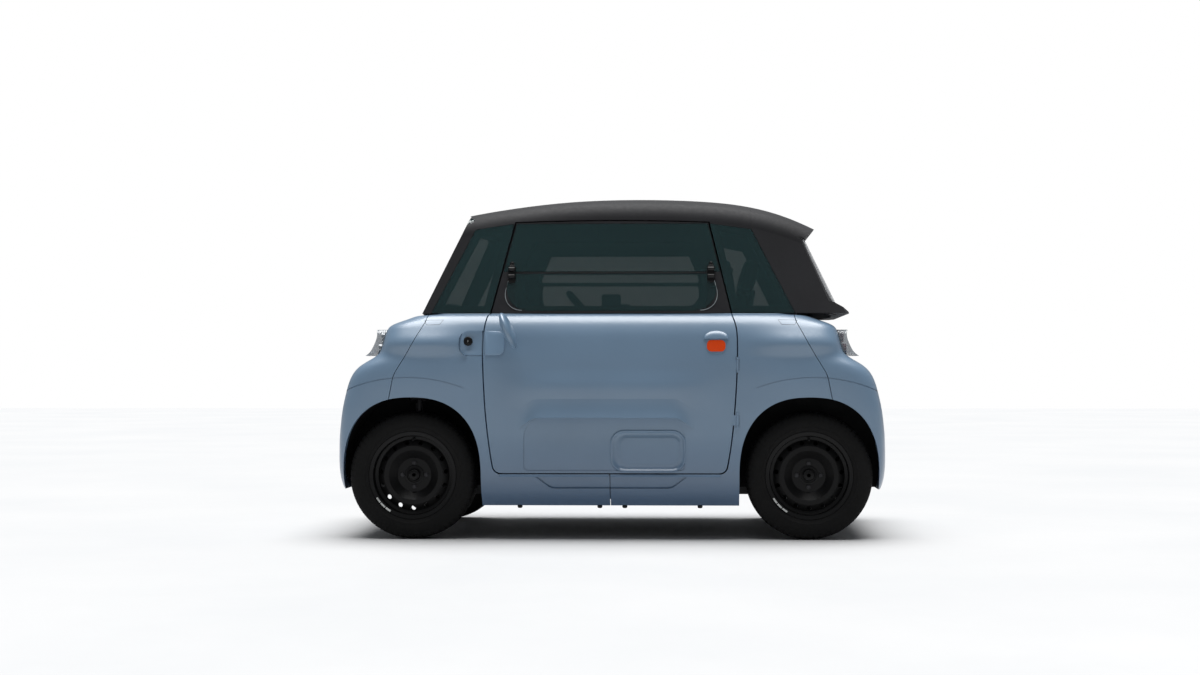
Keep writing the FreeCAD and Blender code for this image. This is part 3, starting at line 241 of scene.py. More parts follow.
MAKE = {
    "body_paint": body_paint(),
    "black_plastic": moulded("black_plastic", (0.0098, 0.0098, 0.0116), 0.66, 900, 0.00018, 1.3),
    "tinted_glass": glass("tinted_glass", (0.010, 0.033, 0.035), 0.62),
    # Painted reflection: the rear glass is a light grey, standing for the bright reflection on the rear
    # window
    "rear_glass": glass("rear_glass", (0.36, 0.37, 0.38), 0.55, 0.05),
    "lamp_cover": lamp_cover(),
    "orange_lens": lens("orange_lens", (0.74, 0.062, 0.004), 170, 0.2),
    "tyre": rubber(),
    "wheel_steel": metal("wheel_steel", (0.0016, 0.0016, 0.0018), 0.42, 0.0, 160, shine=0.22),
    "chassis_steel": metal("chassis_steel", (0.03, 0.031, 0.033), 0.5, 0.2, 90),
    "suspension_steel": metal("suspension_steel", (0.045, 0.045, 0.048), 0.45, 0.4, 120),
    "liner_plastic": gravelly("liner_plastic", (0.0065, 0.0065, 0.007), 0.88),
    "cabin_plastic": moulded("cabin_plastic", (0.035, 0.037, 0.041), 0.66, 700, 0.00025),
    "seat_fabric": fabric("seat_fabric", (0.018, 0.019, 0.022), (0.062, 0.064, 0.07)),
    "battery_case": gravelly("battery_case", (0.06, 0.062, 0.066), 0.6, 120),
    "motor_case": metal("motor_case", (0.32, 0.325, 0.33), 0.5, 0.8, 140, 0.0003),
}
MARKER_WHITE = lens("light_bar", (0.62, 0.64, 0.66), 260)
RED_LENS = lens("red_lens", (0.36, 0.010, 0.010), 210)
FLOOR_MAT = gravelly("floor_mat", (0.013, 0.013, 0.014), 0.92, 160)
SEAL = moulded("rubber_seal", (0.0085, 0.0085, 0.009), 0.7, 1500, 0.0001, 1.2)
DARK_BOLT = metal("dark_bolt", (0.035, 0.035, 0.038), 0.38, 0.7, 300)
ZINC = metal("zinc_plate", (0.42, 0.43, 0.42), 0.34, 1.0, 300)
SILVER = metal("reflector_silver", (0.72, 0.74, 0.76), 0.2, 1.0, 60)
SCREEN = moulded("display_glass", (0.006, 0.008, 0.01), 0.14, 300, 0.00002, 1.2)
WEBBING = fabric("strap_webbing", (0.012, 0.012, 0.014), (0.04, 0.042, 0.046), 420)

# Painted highlight: the door grip pad gets the body paint made 18% lighter, standing for the light it
# catches
LIT_GRIP_PAINT = body_paint("lit_grip_paint", 1.18)
HINGE = metal("hinge_black", (0.0014, 0.0014, 0.0017), 0.34, 0.0, 240, shine=0.3)
# Painted glint: the bare pane edge is a light grey, standing for the bright line it shows
GLINT_EDGE = metal("glass_edge_glint", (0.30, 0.33, 0.34), 0.3, 0.0, 400)

# The finishes of slots that added pieces share: a material and its slot
PAINT, BLACK_TRIM, CABIN_TRIM, CLOTH, WHEEL, ROAD_RUBBER = [
    (MAKE[slot], slot) for slot in ("body_paint", "black_plastic", "cabin_plastic", "seat_fabric",
                                    "wheel_steel", "tyre")]

for row in frame["record"]["subparts"]:
    if row["node"] in NODES:
        NODES[row["node"]].data.materials.clear()
        NODES[row["node"]].data.materials.append(MAKE[row["material_slot"]])


# Mesh tools: each shape is a list of points and a list of faces
def joined(*shapes):
    points, faces = [], []
    for more_points, more_faces in shapes:
        start = len(points)
        points += more_points
        faces += [[start + index for index in face] for face in more_faces]
    return points, faces


def moved(shape, matrix):
    return [matrix @ point for point in shape[0]], shape[1]


def add(name, shape, look, slot, body="body", angle=38):
    """Makes a piece from a shape, welds it, sets its sharp edges and ties it to a body."""
    mesh = bpy.data.meshes.new(name)
    mesh.from_pydata([tuple(point) for point in shape[0]], [], shape[1])
    edit = bmesh.new()
    edit.from_mesh(mesh)
    bmesh.ops.remove_doubles(edit, verts=edit.verts, dist=2e-6)
    bmesh.ops.recalc_face_normals(edit, faces=edit.faces)
    for face in edit.faces:
        face.smooth = True
    for edge in edit.edges:
        edge.smooth = len(edge.link_faces) == 2 and edge.calc_face_angle() < math.radians(angle)
    edit.to_mesh(mesh)
    edit.free()
    mesh.materials.append(look)
    piece = bpy.data.objects.new(name, mesh)
    bpy.context.scene.collection.objects.link(piece)
    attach(piece, body)
    return piece


def add_pair(name, shape, look, slot, body="door_{}", matrix=TURNED, angle=38):
    """The same piece on the left and, turned or mirrored, on the right."""
    return [add(f"{name}_left", shape, look, slot, body.format("left"), angle),
            add(f"{name}_right", moved(shape, matrix), look, slot, body.format("right"), angle)]


def skinned(rows, count, looped_rows=False):
    """Faces between rows of equally many points that each form a closed ring."""
    faces = []
    for row in range(rows if looped_rows else rows - 1):
        above = (row + 1) % rows
        for index in range(count):
            after = (index + 1) % count
            faces.append([row * count + index, row * count + after, above * count + after,
                          above * count + index])
    if not looped_rows:
        faces.append(list(range(count)))
        faces.append([(rows - 1) * count + index for index in range(count)])
    return faces


def skinned_strip(rows, steps):
    """Faces of a closed loop of rows, open along each row and capped at both its ends."""
    count = steps + 1
    faces = [[row * count + step, row * count + step + 1, (row + 1) % rows * count + step + 1,
              (row + 1) % rows * count + step] for row in range(rows) for step in range(steps)]
    return faces + [[row * count for row in range(rows)], [row * count + steps for row in range(rows)]]


def polar(radius, turn):
    return radius * math.cos(turn), radius * math.sin(turn)


def lathe(profile, steps, closed=False):
    """Turns a profile of radius and height round Z. Its ends lie on the axis unless it is closed."""
    points = []
    for step in range(steps):
        turn = 2 * math.pi * step / steps
        points += [Vector((*polar(radius, turn), height)) for radius, height in profile]
    count = len(profile)
    faces = []
    for step in range(steps):
        after = (step + 1) % steps
        for index in range(count if closed else count - 1):
            up = (index + 1) % count
            faces.append([step * count + index, after * count + index, after * count + up,
                          step * count + up])
    return points, faces


def turned_solid(profile, steps):
    """A lathe piece that is closed by flat ends on the axis."""
    return lathe([(0, profile[0][1]), *profile, (0, profile[-1][1])], steps)


def swept(path, normals, section, looped=False):
    """Carries a closed section, in widths and heights, along a path with one normal or one a point."""
    if isinstance(normals, Vector):
        normals = [normals] * len(path)
    points = []
    last = len(path) - 1
    for index, (place, normal) in enumerate(zip(path, normals)):
        ahead = path[(index + 1) % len(path)] if looped or index < last else place
        back = path[index - 1] if looped or index else place
        along = (ahead - back).normalized()
        across = along.cross(normal).normalized()
        out = across.cross(along).normalized()
        points += [place + across * width + out * height for width, height in section]
    return points, skinned(len(path), len(section), looped)


def round_section(radius, steps=12):
    return [polar(radius, 2 * math.pi * step / steps) for step in range(steps)]


def flat_section(width, height, low=0.0):
    """A strip with softened upper corners."""
    half, soft = width / 2, min(width, height) * 0.3
    return [(-half, low), (half, low), (half, low + height - soft), (half - soft, low + height),
            (soft - half, low + height), (-half, low + height - soft)]


def tube(path, radius, steps=12):
    """A round bar along a path."""
    path = [Vector(point) for point in path]
    chord = (path[-1] - path[0]).normalized()
    helper = Vector((0, 1, 0)) if abs(chord.y) < 0.8 else Vector((1, 0, 0))
    return swept(path, helper, round_section(radius, steps))


def curved(points, steps=8):
    """A smooth run of points through a few given ones."""
    points = [Vector(point) for point in points]
    padded = [points[0] * 2 - points[1]] + points + [points[-1] * 2 - points[-2]]
    run = []
    for index in range(1, len(padded) - 2):
        a, b, c, d = padded[index - 1:index + 3]
        for step in range(steps):
            t = step / steps
            run.append((b * 2 + (c - a) * t + (a * 2 - b * 5 + c * 4 - d) * t * t
                        + (b * 3 - a - c * 3 + d) * t * t * t) * 0.5)
    return run + [points[-1]]


def rounded(width, height, radius, steps=7, centre=(0, 0)):
    """The outline of a rectangle with round corners."""
    outline = []
    for corner, (sign_u, sign_v) in enumerate(((1, 1), (-1, 1), (-1, -1), (1, -1))):
        for step in range(steps + 1):
            turn = math.pi / 2 * (corner + step / steps)
            outline.append((centre[0] + sign_u * (width / 2 - radius) + radius * math.cos(turn),
                            centre[1] + sign_v * (height / 2 - radius) + radius * math.sin(turn)))
    return outline


def plate(outline, thickness, bevel, place, sunk=0.001):
    """A plate with a rounded front edge. The place call turns u, v and the height into a point."""
    count = len(outline)
    middle_u = sum(u for u, _ in outline) / count
    middle_v = sum(v for _, v in outline) / count
    rows = [(1.0, 0.0, -sunk)]
    for step in range(4):
        turn = math.pi / 6 * step
        rows.append((1.0, bevel * (1 - math.cos(turn)), thickness - bevel + bevel * math.sin(turn)))
    rows += [(share, bevel, thickness) for share in (0.75, 0.5, 0.25)]
    points = []
    for share, inset, height in rows:
        for u, v in outline:
            reach = math.hypot(u - middle_u, v - middle_v)
            kept = share * max(0.0, 1 - inset / reach)
            points.append(place(middle_u + (u - middle_u) * kept, middle_v + (v - middle_v) * kept,
                                height))
    return points, skinned(len(rows), count)


def framed(origin, across, up):
    """A place call for a flat plate: its face looks along across x up."""
    across, up = Vector(across).normalized(), Vector(up).normalized()
    out = across.cross(up)
    origin = Vector(origin)
    return lambda u, v, height: origin + across * u + up * v + out * height


def axes(origin, across, up):
    """A matrix whose X and Y run across and up, and whose Z looks out."""
    across, up = Vector(across).normalized(), Vector(up).normalized()
    out = across.cross(up).normalized()
    matrix = Matrix((across, up, out)).transposed().to_4x4()
    matrix.translation = Vector(origin)
    return matrix


def surface(*names):
    """CAD nodes as something that rays can hit."""
    points, faces = [], []
    for name in names:
        mesh = NODES[name].data
        start = len(points)
        points += [vertex.co.copy() for vertex in mesh.vertices]
        faces += [[start + index for index in polygon.vertices] for polygon in mesh.polygons]
    return BVHTree.FromPolygons(points, faces)


SEAM_STEP = 0.004
OUTSIDE_Y, CABIN_Y, AHEAD_X = -1.2, -0.3, -1.6


def on_skin(tree, start, direction):
    """The first point that a ray meets, bridging thin seams, with its normal turned to the start."""
    start, direction = Vector(start), Vector(direction).normalized()
    hits = []
    for shift in (0, -SEAM_STEP, SEAM_STEP):
        place, normal, _, away = tree.ray_cast(start + Vector((shift, 0, 0)), direction)
        if place is not None:
            hits.append((away, normal))
    if not hits:
        raise RuntimeError(f"no surface from {tuple(start)}")
    away, normal = hits[0]
    nearest = min(hits, key=lambda hit: hit[0])
    if len(hits) < 3 or away > nearest[0] + SEAM_STEP:
        away, normal = nearest
    return start + direction * away, normal if normal.dot(direction) < 0 else -normal


def from_left(tree, x, z):
    """Where a ray from outside meets the left side, with the normal there."""
    return on_skin(tree, (x, OUTSIDE_Y, z), (0, 1, 0))


def from_cabin(tree, x, z):
    """Where a ray from the cabin meets the left door, with the normal there."""
    return on_skin(tree, (x, CABIN_Y, z), (0, -1, 0))


def left_place(tree):
    """A place call that lays a plate on the left side: u is X, v is Z."""
    def place(u, v, height):
        point, normal = from_left(tree, u, v)
        return point + normal * height
    return place


def ahead_place(tree):
    """A place call that lays a plate on the nose or the windscreen: u is Y, v is Z."""
    def place(u, v, height):
        point, normal = on_skin(tree, (AHEAD_X, u, v), (1, 0, 0))
        return point + normal * height
    return place


def laid_on(tree, outline, width, height, looped=True):
    """A strip laid on the left side along an outline in side view."""
    hits = [from_left(tree, x, z) for x, z in outline]
    return swept([place for place, _ in hits], [normal for _, normal in hits],
                 flat_section(width, height, -0.001), looped)


def hexagon(radius, height):
    """A bolt head on a thin flange, standing on Z = 0."""
    rows, chamfer = [], 0.0015
    for scale, up in ((1.0, 0.0), (1.0, height - chamfer), (0.84, height), (0.5, height),
                      (0.42, height - chamfer * 1.5)):
        rows += [Vector((*polar(radius * scale, math.pi / 3 * step), up)) for step in range(6)]
    flange = turned_solid([(radius * 1.25, -0.001), (radius * 1.25, 0.001), (radius * 1.12, 0.002)], 24)
    return joined((rows, skinned(5, 6)), flange)


def smooth_step(low, high, value):
    share = min(1.0, max(0.0, (value - low) / (high - low)))
    return share * share * (3 - 2 * share)


def cushion(shaped, power=5.0, grid=36):
    """A closed rounded form: a cube's grid pushed to a soft block, then shaped by a call."""
    points, faces = [], []
    for axis in range(3):
        for sign in (-1, 1):
            start = len(points)
            for row in range(grid + 1):
                for column in range(grid + 1):
                    spot = [0.0, 0.0, 0.0]
                    spot[axis] = float(sign)
                    spot[(axis + 1) % 3] = math.tan((2 * row / grid - 1) * 0.785) / math.tan(0.785)
                    spot[(axis + 2) % 3] = math.tan((2 * column / grid - 1) * 0.785) / math.tan(0.785)
                    size = sum(abs(part) ** power for part in spot) ** (-1 / power)
                    points.append(shaped(Vector(spot) * size))
            for row in range(grid):
                for column in range(grid):
                    corner = start + row * (grid + 1) + column
                    faces.append([corner, corner + 1, corner + grid + 2, corner + grid + 1])
    return points, faces


def soft_block(half, power, grid):
    """A plain cushion form with given half sizes."""
    return cushion(lambda spot: Vector([part * size for part, size in zip(spot, half)]), power, grid)


# Road tyres
TREAD = [0.0, 0.0075, 0.0085, 0.0155, 0.0165, 0.0315, 0.0325, 0.0395, 0.0405, 0.047, 0.0535]
GROOVES = ((0.0085, 0.0155), (0.0325, 0.0395))
SIDEWALL = [(0.2736, 0.0586), (0.2700, 0.0640), (0.2645, 0.0690), (0.2570, 0.0728), (0.2480, 0.0752),
            (0.2380, 0.0768), (0.2280, 0.0770), (0.2190, 0.0762), (0.2120, 0.0748), (0.2095, 0.0752),
            (0.2070, 0.0736), (0.2010, 0.0716), (0.1965, 0.0704), (0.1925, 0.0688), (0.1905, 0.0656),
            (0.1840, 0.0650), (0.1785, 0.0618)]
CROWN, TREAD_DROP, TREAD_HALF = 0.278, 0.003, 0.0535
GROOVE_DEPTH = 0.0065
PITCHES = 62
SIPE = (0.0, 0.80, 0.83, 0.97)
SKEW = 2.4


def tyre():
    """A road tyre round Z: four grooves, slanted cross cuts in each rib and ribbed side walls."""
    half = []
    for y in TREAD:
        groove = GROOVE_DEPTH if any(low <= y <= high for low, high in GROOVES) else 0
        half.append((CROWN - TREAD_DROP * (y / TREAD_HALF) ** 2 - groove, y))
    half += SIDEWALL
    profile = [(radius, -y) for radius, y in reversed(half)] + half[1:]
    points = []
    for pitch in range(PITCHES):
        for share in SIPE:
            cut = share in SIPE[2:]
            for radius, y in profile:
                across = abs(y)
                depth = 0.0
                if cut and across <= TREAD_HALF and radius > 0.272:
                    depth = 0.002 if across < 0.009 else 0.0045
                elif cut and radius > 0.262:
                    depth = 0.003
                elif cut and 0.243 < radius < 0.262:
                    depth = 0.0007
                lean = SKEW * min(across, 0.05) / (2 * math.pi)
                turn = 2 * math.pi * ((pitch + share) / PITCHES + lean)
                points.append(Vector((*polar(radius - depth, turn), y)))
    steps, count = PITCHES * len(SIPE), len(profile)
    return points, skinned(steps, count, looped_rows=True)


def wheel_axes(end, side):
    """A wheel's own frame: Z looks outward from the wheel's middle."""
    return axes((end * AXLE_X, side * WHEEL_Y, AXLE_Z), (-side, 0, 0), (0, 0, 1))


BOLT_CIRCLE = 0.052
HUB_FACE = 0.014
VALVE_REACH = 0.158
WEIGHT_RADIUS, WEIGHT_HEIGHT = 0.1835, 0.0695
hub_cap = turned_solid([(0.007, 0.030), (0.0085, 0.0325), (0.016, 0.0325), (0.0225, 0.0295),
                        (0.026, 0.023), (0.027, HUB_FACE + 0.002), (0.031, HUB_FACE + 0.0005),
                        (0.031, HUB_FACE - 0.001)], 56)
hub_step = lathe([(0.033, HUB_FACE - 0.001), (0.033, HUB_FACE + 0.003), (0.0345, HUB_FACE + 0.0045),
                  (0.040, HUB_FACE + 0.0045), (0.042, HUB_FACE + 0.003), (0.042, HUB_FACE - 0.001)],
                 56, True)
bolts = []
for number in range(4):
    spot = Matrix.Translation((*polar(BOLT_CIRCLE, math.pi / 2 * number), HUB_FACE))
    bolts.append(moved(hexagon(0.0085, 0.011), spot))
valve = moved(turned_solid([(0.0025, 0.026), (0.0032, 0.0245), (0.0032, 0.012), (0.0045, 0.0105),
                            (0.0045, 0.003), (0.0065, 0.001), (0.0065, -0.003)], 20),
              Matrix.Translation((0, VALVE_REACH, 0.034)) @ Matrix.Rotation(math.radians(12), 4, "X"))
weights = []
for number in range(3):
    arc = [math.radians(212 + 4 * step + 4.6 * number * 2) for step in range(3)]
    path = [Vector((*polar(WEIGHT_RADIUS, turn), WEIGHT_HEIGHT)) for turn in arc]
    weights.append(swept(path, Vector((0, 0, 1)), flat_section(0.009, 0.004, -0.001)))
for end in (-1, 1):
    for side in (LEFT, RIGHT):
        wheel = f"{END_NAMES[end]}_{SIDE_NAMES[side]}"
        here = wheel_axes(end, side)
        body = f"wheel_{wheel}"
        road_tyre = add(f"road_tyre_{wheel}", moved(tyre(), here), *ROAD_RUBBER, body, 30)
        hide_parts(f"tyre_{wheel}")
        add(f"hub_cap_{wheel}", moved(joined(hub_cap, hub_step), here), *WHEEL, body)
        add(f"wheel_bolts_{wheel}", moved(joined(*bolts), here), DARK_BOLT, "wheel_steel", body, 28)
        add(f"valve_{wheel}", moved(valve, here), SEAL, "tyre", body)
        add(f"balance_weights_{wheel}", moved(joined(*weights), here), ZINC, "wheel_steel", body)


# Seats: a cushion, a back and a head pad each, on plastic shells
SEAT_Y = 0.223


def seam(value, at, width):
    return math.exp(-((value - at) / width) ** 2)


def stitched(spot, z, face, edge, lines, depth, width):
    """Draws a cushion's face in along its seams. Gives the new height and the pull of its welt."""
    side = abs(spot.x)
    inner = 1 - smooth_step(edge - 0.06, edge + 0.02, side)
    for line in lines:
        z -= face * inner * depth * seam(spot.y, line, width)
    z -= face * 0.005 * seam(side, edge, 0.022)
    return z, 1 - 0.016 * seam(spot.z, edge, 0.1) * smooth_step(0.85, 0.97, max(side, abs(spot.y)))


def seat_base_form(spot):
    side, top = abs(spot.x), smooth_step(0.1, 0.9, spot.z)
    x = spot.x * 0.2 * (1 - 0.03 * (1 - spot.y ** 2) * (1 - abs(spot.z)))
    y = spot.y * 0.248 * (1 - 0.02 * (1 - spot.x ** 2))
    z = spot.z * 0.05
    z += top * (0.013 * smooth_step(0.6, 0.86, side) - 0.009 * (1 - spot.y ** 2) * (1 - side ** 2))
    z -= top * 0.014 * smooth_step(0.72, 1.0, spot.y)
    z, pull = stitched(spot, z, top, 0.62, (-0.62, -0.36, -0.10, 0.16, 0.42, 0.68), 0.0065, 0.03)
    return Vector((x * pull, y * pull, z))


def seat_back_form(spot):
    side, face = abs(spot.x), smooth_step(0.1, 0.9, spot.z)
    narrow = 1 - 0.13 * smooth_step(0.1, 1.0, spot.y)
    x = spot.x * 0.196 * narrow * (1 - 0.025 * (1 - spot.y ** 2) * (1 - abs(spot.z)))
    y = spot.y * 0.292
    z = spot.z * 0.038
    z += face * (0.014 * smooth_step(0.58, 0.84, side) * (1 - smooth_step(0.55, 1.0, spot.y))
                 + 0.007 * seam(spot.y, -0.35, 0.3) - 0.006 * (1 - side ** 2) * seam(spot.y, 0.3, 0.4))
    z, pull = stitched(spot, z, face, 0.6, (-0.72, -0.5, -0.28, -0.06, 0.16, 0.38, 0.6), 0.006, 0.026)
    return Vector((x * pull, y * pull, z))


def head_pad_form(spot):
    face = smooth_step(0.1, 0.9, spot.z)
    x = spot.x * 0.122 * (1 - 0.05 * (1 - spot.y ** 2) * (1 - abs(spot.z)))
    y = spot.y * 0.07
    z = spot.z * 0.034 + face * (0.005 * (1 - spot.x ** 2) - 0.004 * seam(abs(spot.x), 0.6, 0.04))
    return Vector((x, y, z))


def shell_form(half_x, half_y, half_z, dish, narrow=0.0):
    """A thin moulded shell, dished along its edges."""
    def form(spot):
        x = spot.x * half_x * (1 - narrow * smooth_step(0.1, 1.0, spot.y))
        return Vector((x, spot.y * half_y, spot.z * half_z + dish * spot.x ** 4))
    return form


BACK_UP = (0.195, 0, 0.981)
for side in (LEFT, RIGHT):
    name, middle = SIDE_NAMES[side], side * SEAT_Y
    base_axes = axes((0.221, middle, 0.498), (0, 1, 0), (-1, 0, 0.045))
    back_axes = axes((0.527, middle, 0.80), (0, -1, 0), BACK_UP)
    head_axes = axes((0.614, middle, 1.165), (0, -1, 0), (0.26, 0, 0.966))
    for part, form, power, grid, where in (("seat_cushion", seat_base_form, 6.5, 44, base_axes),
                                           ("seat_back", seat_back_form, 6.0, 44, back_axes),
                                           ("head_pad", head_pad_form, 4.5, 26, head_axes)):
        shape = moved(cushion(form, power, grid), where)
        add(f"{part}_{name}", shape, *CLOTH, angle=80)
    if side == LEFT:
        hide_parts("seats")
    tray = moved(cushion(shell_form(0.19, 0.235, 0.007, 0.006), 9, 16),
                 axes((0.221, middle, 0.4430), (0, 1, 0), (-1, 0, 0)))
    back = moved(cushion(shell_form(0.186, 0.31, 0.010, 0.012, 0.13), 9, 22),
                 axes((0.573, middle, 0.795), (0, -1, 0), BACK_UP))
    cheeks = []
    for edge in (-1, 1):
        place = framed((0.50, middle + edge * 0.199, 0.52), (-edge, 0, 0), (0, 0, 1))
        outline = rounded(0.16, 0.13, 0.05)
        cheeks.append(plate(outline, 0.003, 0.002, place, 0.006))
    stays = [tube([(0.603, middle + gap, 1.04), (0.612, middle + gap, 1.13)], 0.006)
             for gap in (-0.06, 0.06)]
    add(f"seat_shell_{name}", joined(tray, back, *cheeks), *CABIN_TRIM)
    add(f"head_stays_{name}", joined(*stays), ZINC, "suspension_steel")

# Belts: one run down each door pillar and a second to the anchor beside the seat
for side in (LEFT, RIGHT):
    name = SIDE_NAMES[side]
    lean = [(0.505, 0.496, 1.185), (0.530, 0.528, 1.05), (0.552, 0.556, 0.90), (0.566, 0.566, 0.70)]
    back_run = [(0.505, 0.490, 1.175), (0.520, 0.508, 1.03), (0.545, 0.520, 0.86), (0.585, 0.530, 0.685)]
    straps = []
    for run in (lean, back_run):
        path = curved([(x, side * y, z) for x, y, z in run])
        straps.append(swept(path, Vector((0, -side, 0.25)).normalized(), flat_section(0.046, 0.0016)))
    add(f"belt_{name}", joined(*straps), WEBBING, "seat_fabric", angle=60)
    guide = moved(turned_solid([(0.014, 0.012), (0.019, 0.009), (0.021, 0.003), (0.021, -0.012)], 32),
                  axes((0.505, side * 0.500, 1.20), (side, 0, 0), (0, 0, 1)))
    loop = plate(rounded(0.062, 0.026, 0.009), 0.010, 0.003,
                 framed((0.505, side * 0.498, 1.178), (side, 0, 0), (0, 0, 1)))
    reel = moved(soft_block((0.032, 0.026, 0.034), 7, 12),
                 axes((0.585, side * 0.535, 0.6925), (0, 1, 0), (-1, 0, 0)))
    add(f"belt_fittings_{name}", joined(guide, loop, reel), *CABIN_TRIM)

# Steering wheel pad, shroud and stalks
STEER_AT = Vector((-0.100, -0.232, 0.960))
steer_axes = axes(STEER_AT, (0, 1, 0), (-0.643, 0, 0.766))
pad = cushion(lambda spot: Vector((spot.x * 0.060, spot.y * 0.046, 0.028 + spot.z * 0.011
                                   - 0.004 * seam(math.hypot(spot.x, spot.y), 0.55, 0.05))), 3.6, 24)
add("steering_pad", moved(pad, steer_axes), *CABIN_TRIM, "steering_wheel")
shroud = lathe([(0.0245, -0.19), (0.031, -0.185), (0.036, -0.15), (0.038, -0.09), (0.036, -0.060),
                (0.031, -0.053), (0.0245, -0.052)], 40, True)
stalks = []
stalk_end = soft_block((0.019, 0.0095, 0.006), 4, 10)
for hand in (-1, 1):
    stalks.append(tube(curved([(hand * 0.030, 0.0, -0.085), (hand * 0.070, 0.006, -0.086),
                               (hand * 0.120, 0.014, -0.078)]), 0.0045))
    stalks.append(moved(stalk_end, Matrix.Translation((hand * 0.128, 0.0155, -0.077))))
add("column_shroud", moved(joined(shroud, *stalks), steer_axes), *CABIN_TRIM)

# Dashboard: display with its hood, vents with slats, knobs and an open tray's lip
DASH_FACE = -0.4555
display_axes = ((0, 1, 0), (-0.59, 0, 0.80))
DISPLAY_AT = Vector((-0.4775, -0.232, 0.9275))
hood = plate(rounded(0.172, 0.086, 0.022), 0.014, 0.006, framed(DISPLAY_AT, *display_axes), 0.004)
add("display_hood", hood, *CABIN_TRIM)
glass_face = plate(rounded(0.144, 0.060, 0.010), 0.0020, 0.0008,
                   framed(DISPLAY_AT + Vector((0.80, 0, 0.59)) * 0.0135, *display_axes))
add("display_glass", glass_face, SCREEN, "cabin_plastic")
vents = []
for middle in (-0.40, 0.40):
    frame_path = [Vector((DASH_FACE, middle + u, 0.825 + v)) for u, v in rounded(0.112, 0.066, 0.018)]
    vents.append(swept(frame_path, Vector((1, 0, 0)), flat_section(0.009, 0.008, -0.003), True))
    for number in range(5):
        level = 0.8035 + 0.0107 * number
        slat = [(DASH_FACE + 0.001, middle + reach, level) for reach in (-0.05, 0.05)]
        vents.append(tube(slat, 0.0026, 8))
add("air_vents", joined(*vents), SEAL, "cabin_plastic")
knob = turned_solid([(0.013, 0.018), (0.0155, 0.0165), (0.017, 0.004), (0.021, 0.003), (0.0225, 0),
                     (0.0225, -0.004)], 32)
knobs = []
for middle in (-0.065, 0.0, 0.065):
    knobs.append(moved(knob, axes((DASH_FACE, middle, 0.80), *TO_DRIVER)))
    knobs.append(plate(rounded(0.004, 0.026, 0.0018, 4), 0.003, 0.001,
                       framed((DASH_FACE + 0.0175, middle, 0.80), *TO_DRIVER)))
add("dash_knobs", joined(*knobs), *CABIN_TRIM)
lip_path = [Vector((DASH_FACE, 0.245 + u, 0.735 + v)) for u, v in rounded(0.36, 0.10, 0.03)]
tray_lip = swept(lip_path, Vector((1, 0, 0)), flat_section(0.008, 0.006, -0.003), True)
net_path = curved([(DASH_FACE + 0.001, 0.075, 0.755), (DASH_FACE + 0.010, 0.245, 0.748),
                   (DASH_FACE + 0.001, 0.415, 0.755)])
add("tray_lip", joined(tray_lip, tube(net_path, 0.003)), *CABIN_TRIM)

# Pedals and ribbed mats
pedals = []
for middle, foot_z, half in ((-0.275, 0.40, 0.036), (-0.165, 0.36, 0.026)):
    lever = [(-0.690, middle, 0.634), (-0.672, middle, 0.52), (-0.634, middle, foot_z)]
    pedals.append(tube(curved(lever), 0.007))
    pad_place = framed((-0.632, middle, foot_z), (0, 1, 0), (-0.35, 0, 0.94))
    pedals.append(plate(rounded(half * 2, 0.074, 0.010), 0.010, 0.003, pad_place, 0.003))
    for rib in range(4):
        ridge = [pad_place(half * reach, 0.016 * (rib - 1.5), 0.0105) for reach in (-0.75, 0.75)]
        pedals.append(tube(ridge, 0.0022, 8))
add("pedals", joined(*pedals), SEAL, "cabin_plastic")
FLOOR_TOP = 0.2533
for side in (LEFT, RIGHT):
    middle = side * 0.305
    mat_place = framed((-0.262, middle, FLOOR_TOP), (1, 0, 0), (0, 1, 0))
    mat = [plate(rounded(0.46, 0.48, 0.05), 0.005, 0.002, mat_place, 0.0)]
    for rib in range(15):
        level = -0.196 + 0.028 * rib
        mat.append(tube([mat_place(level, -0.20, 0.005), mat_place(level, 0.20, 0.005)], 0.0022, 6))
    add(f"floor_mat_{SIDE_NAMES[side]}", joined(*mat), FLOOR_MAT, "cabin_plastic")

# Doors, outside: grip pad, marker hood and bezel, and hinge brackets of the folding window
door_skin = surface("door_left")
window_skin = surface("door_frame_left", "door_glass_left")
front_skin = surface("quarter_front_left")
sill_skin = surface("quarter_front_left", "quarter_rear_left")
GRIP_Z, GRIP_HEIGHT = 0.853, 0.104
GRIP_FRONT, GRIP_BEND, GRIP_TURN, GRIP_SHARP = -0.541, -0.500, 0.044, 0.62
grip_outline = [(GRIP_FRONT, GRIP_Z - GRIP_HEIGHT / 2), (GRIP_BEND, GRIP_Z - GRIP_HEIGHT / 2)]
for step in range(13):
    turn = math.pi * (step / 12 - 0.5)
    up = math.copysign(abs(math.sin(turn)) ** GRIP_SHARP, math.sin(turn))
    grip_outline.append((GRIP_BEND + GRIP_TURN * abs(math.cos(turn)) ** GRIP_SHARP,
                         GRIP_Z + GRIP_HEIGHT / 2 * up))
grip_outline += [(GRIP_FRONT, GRIP_Z + GRIP_HEIGHT / 2)]
door_place = left_place(door_skin)
add_pair("door_grip", plate(grip_outline, 0.0055, 0.003, door_place), LIT_GRIP_PAINT, "body_paint")

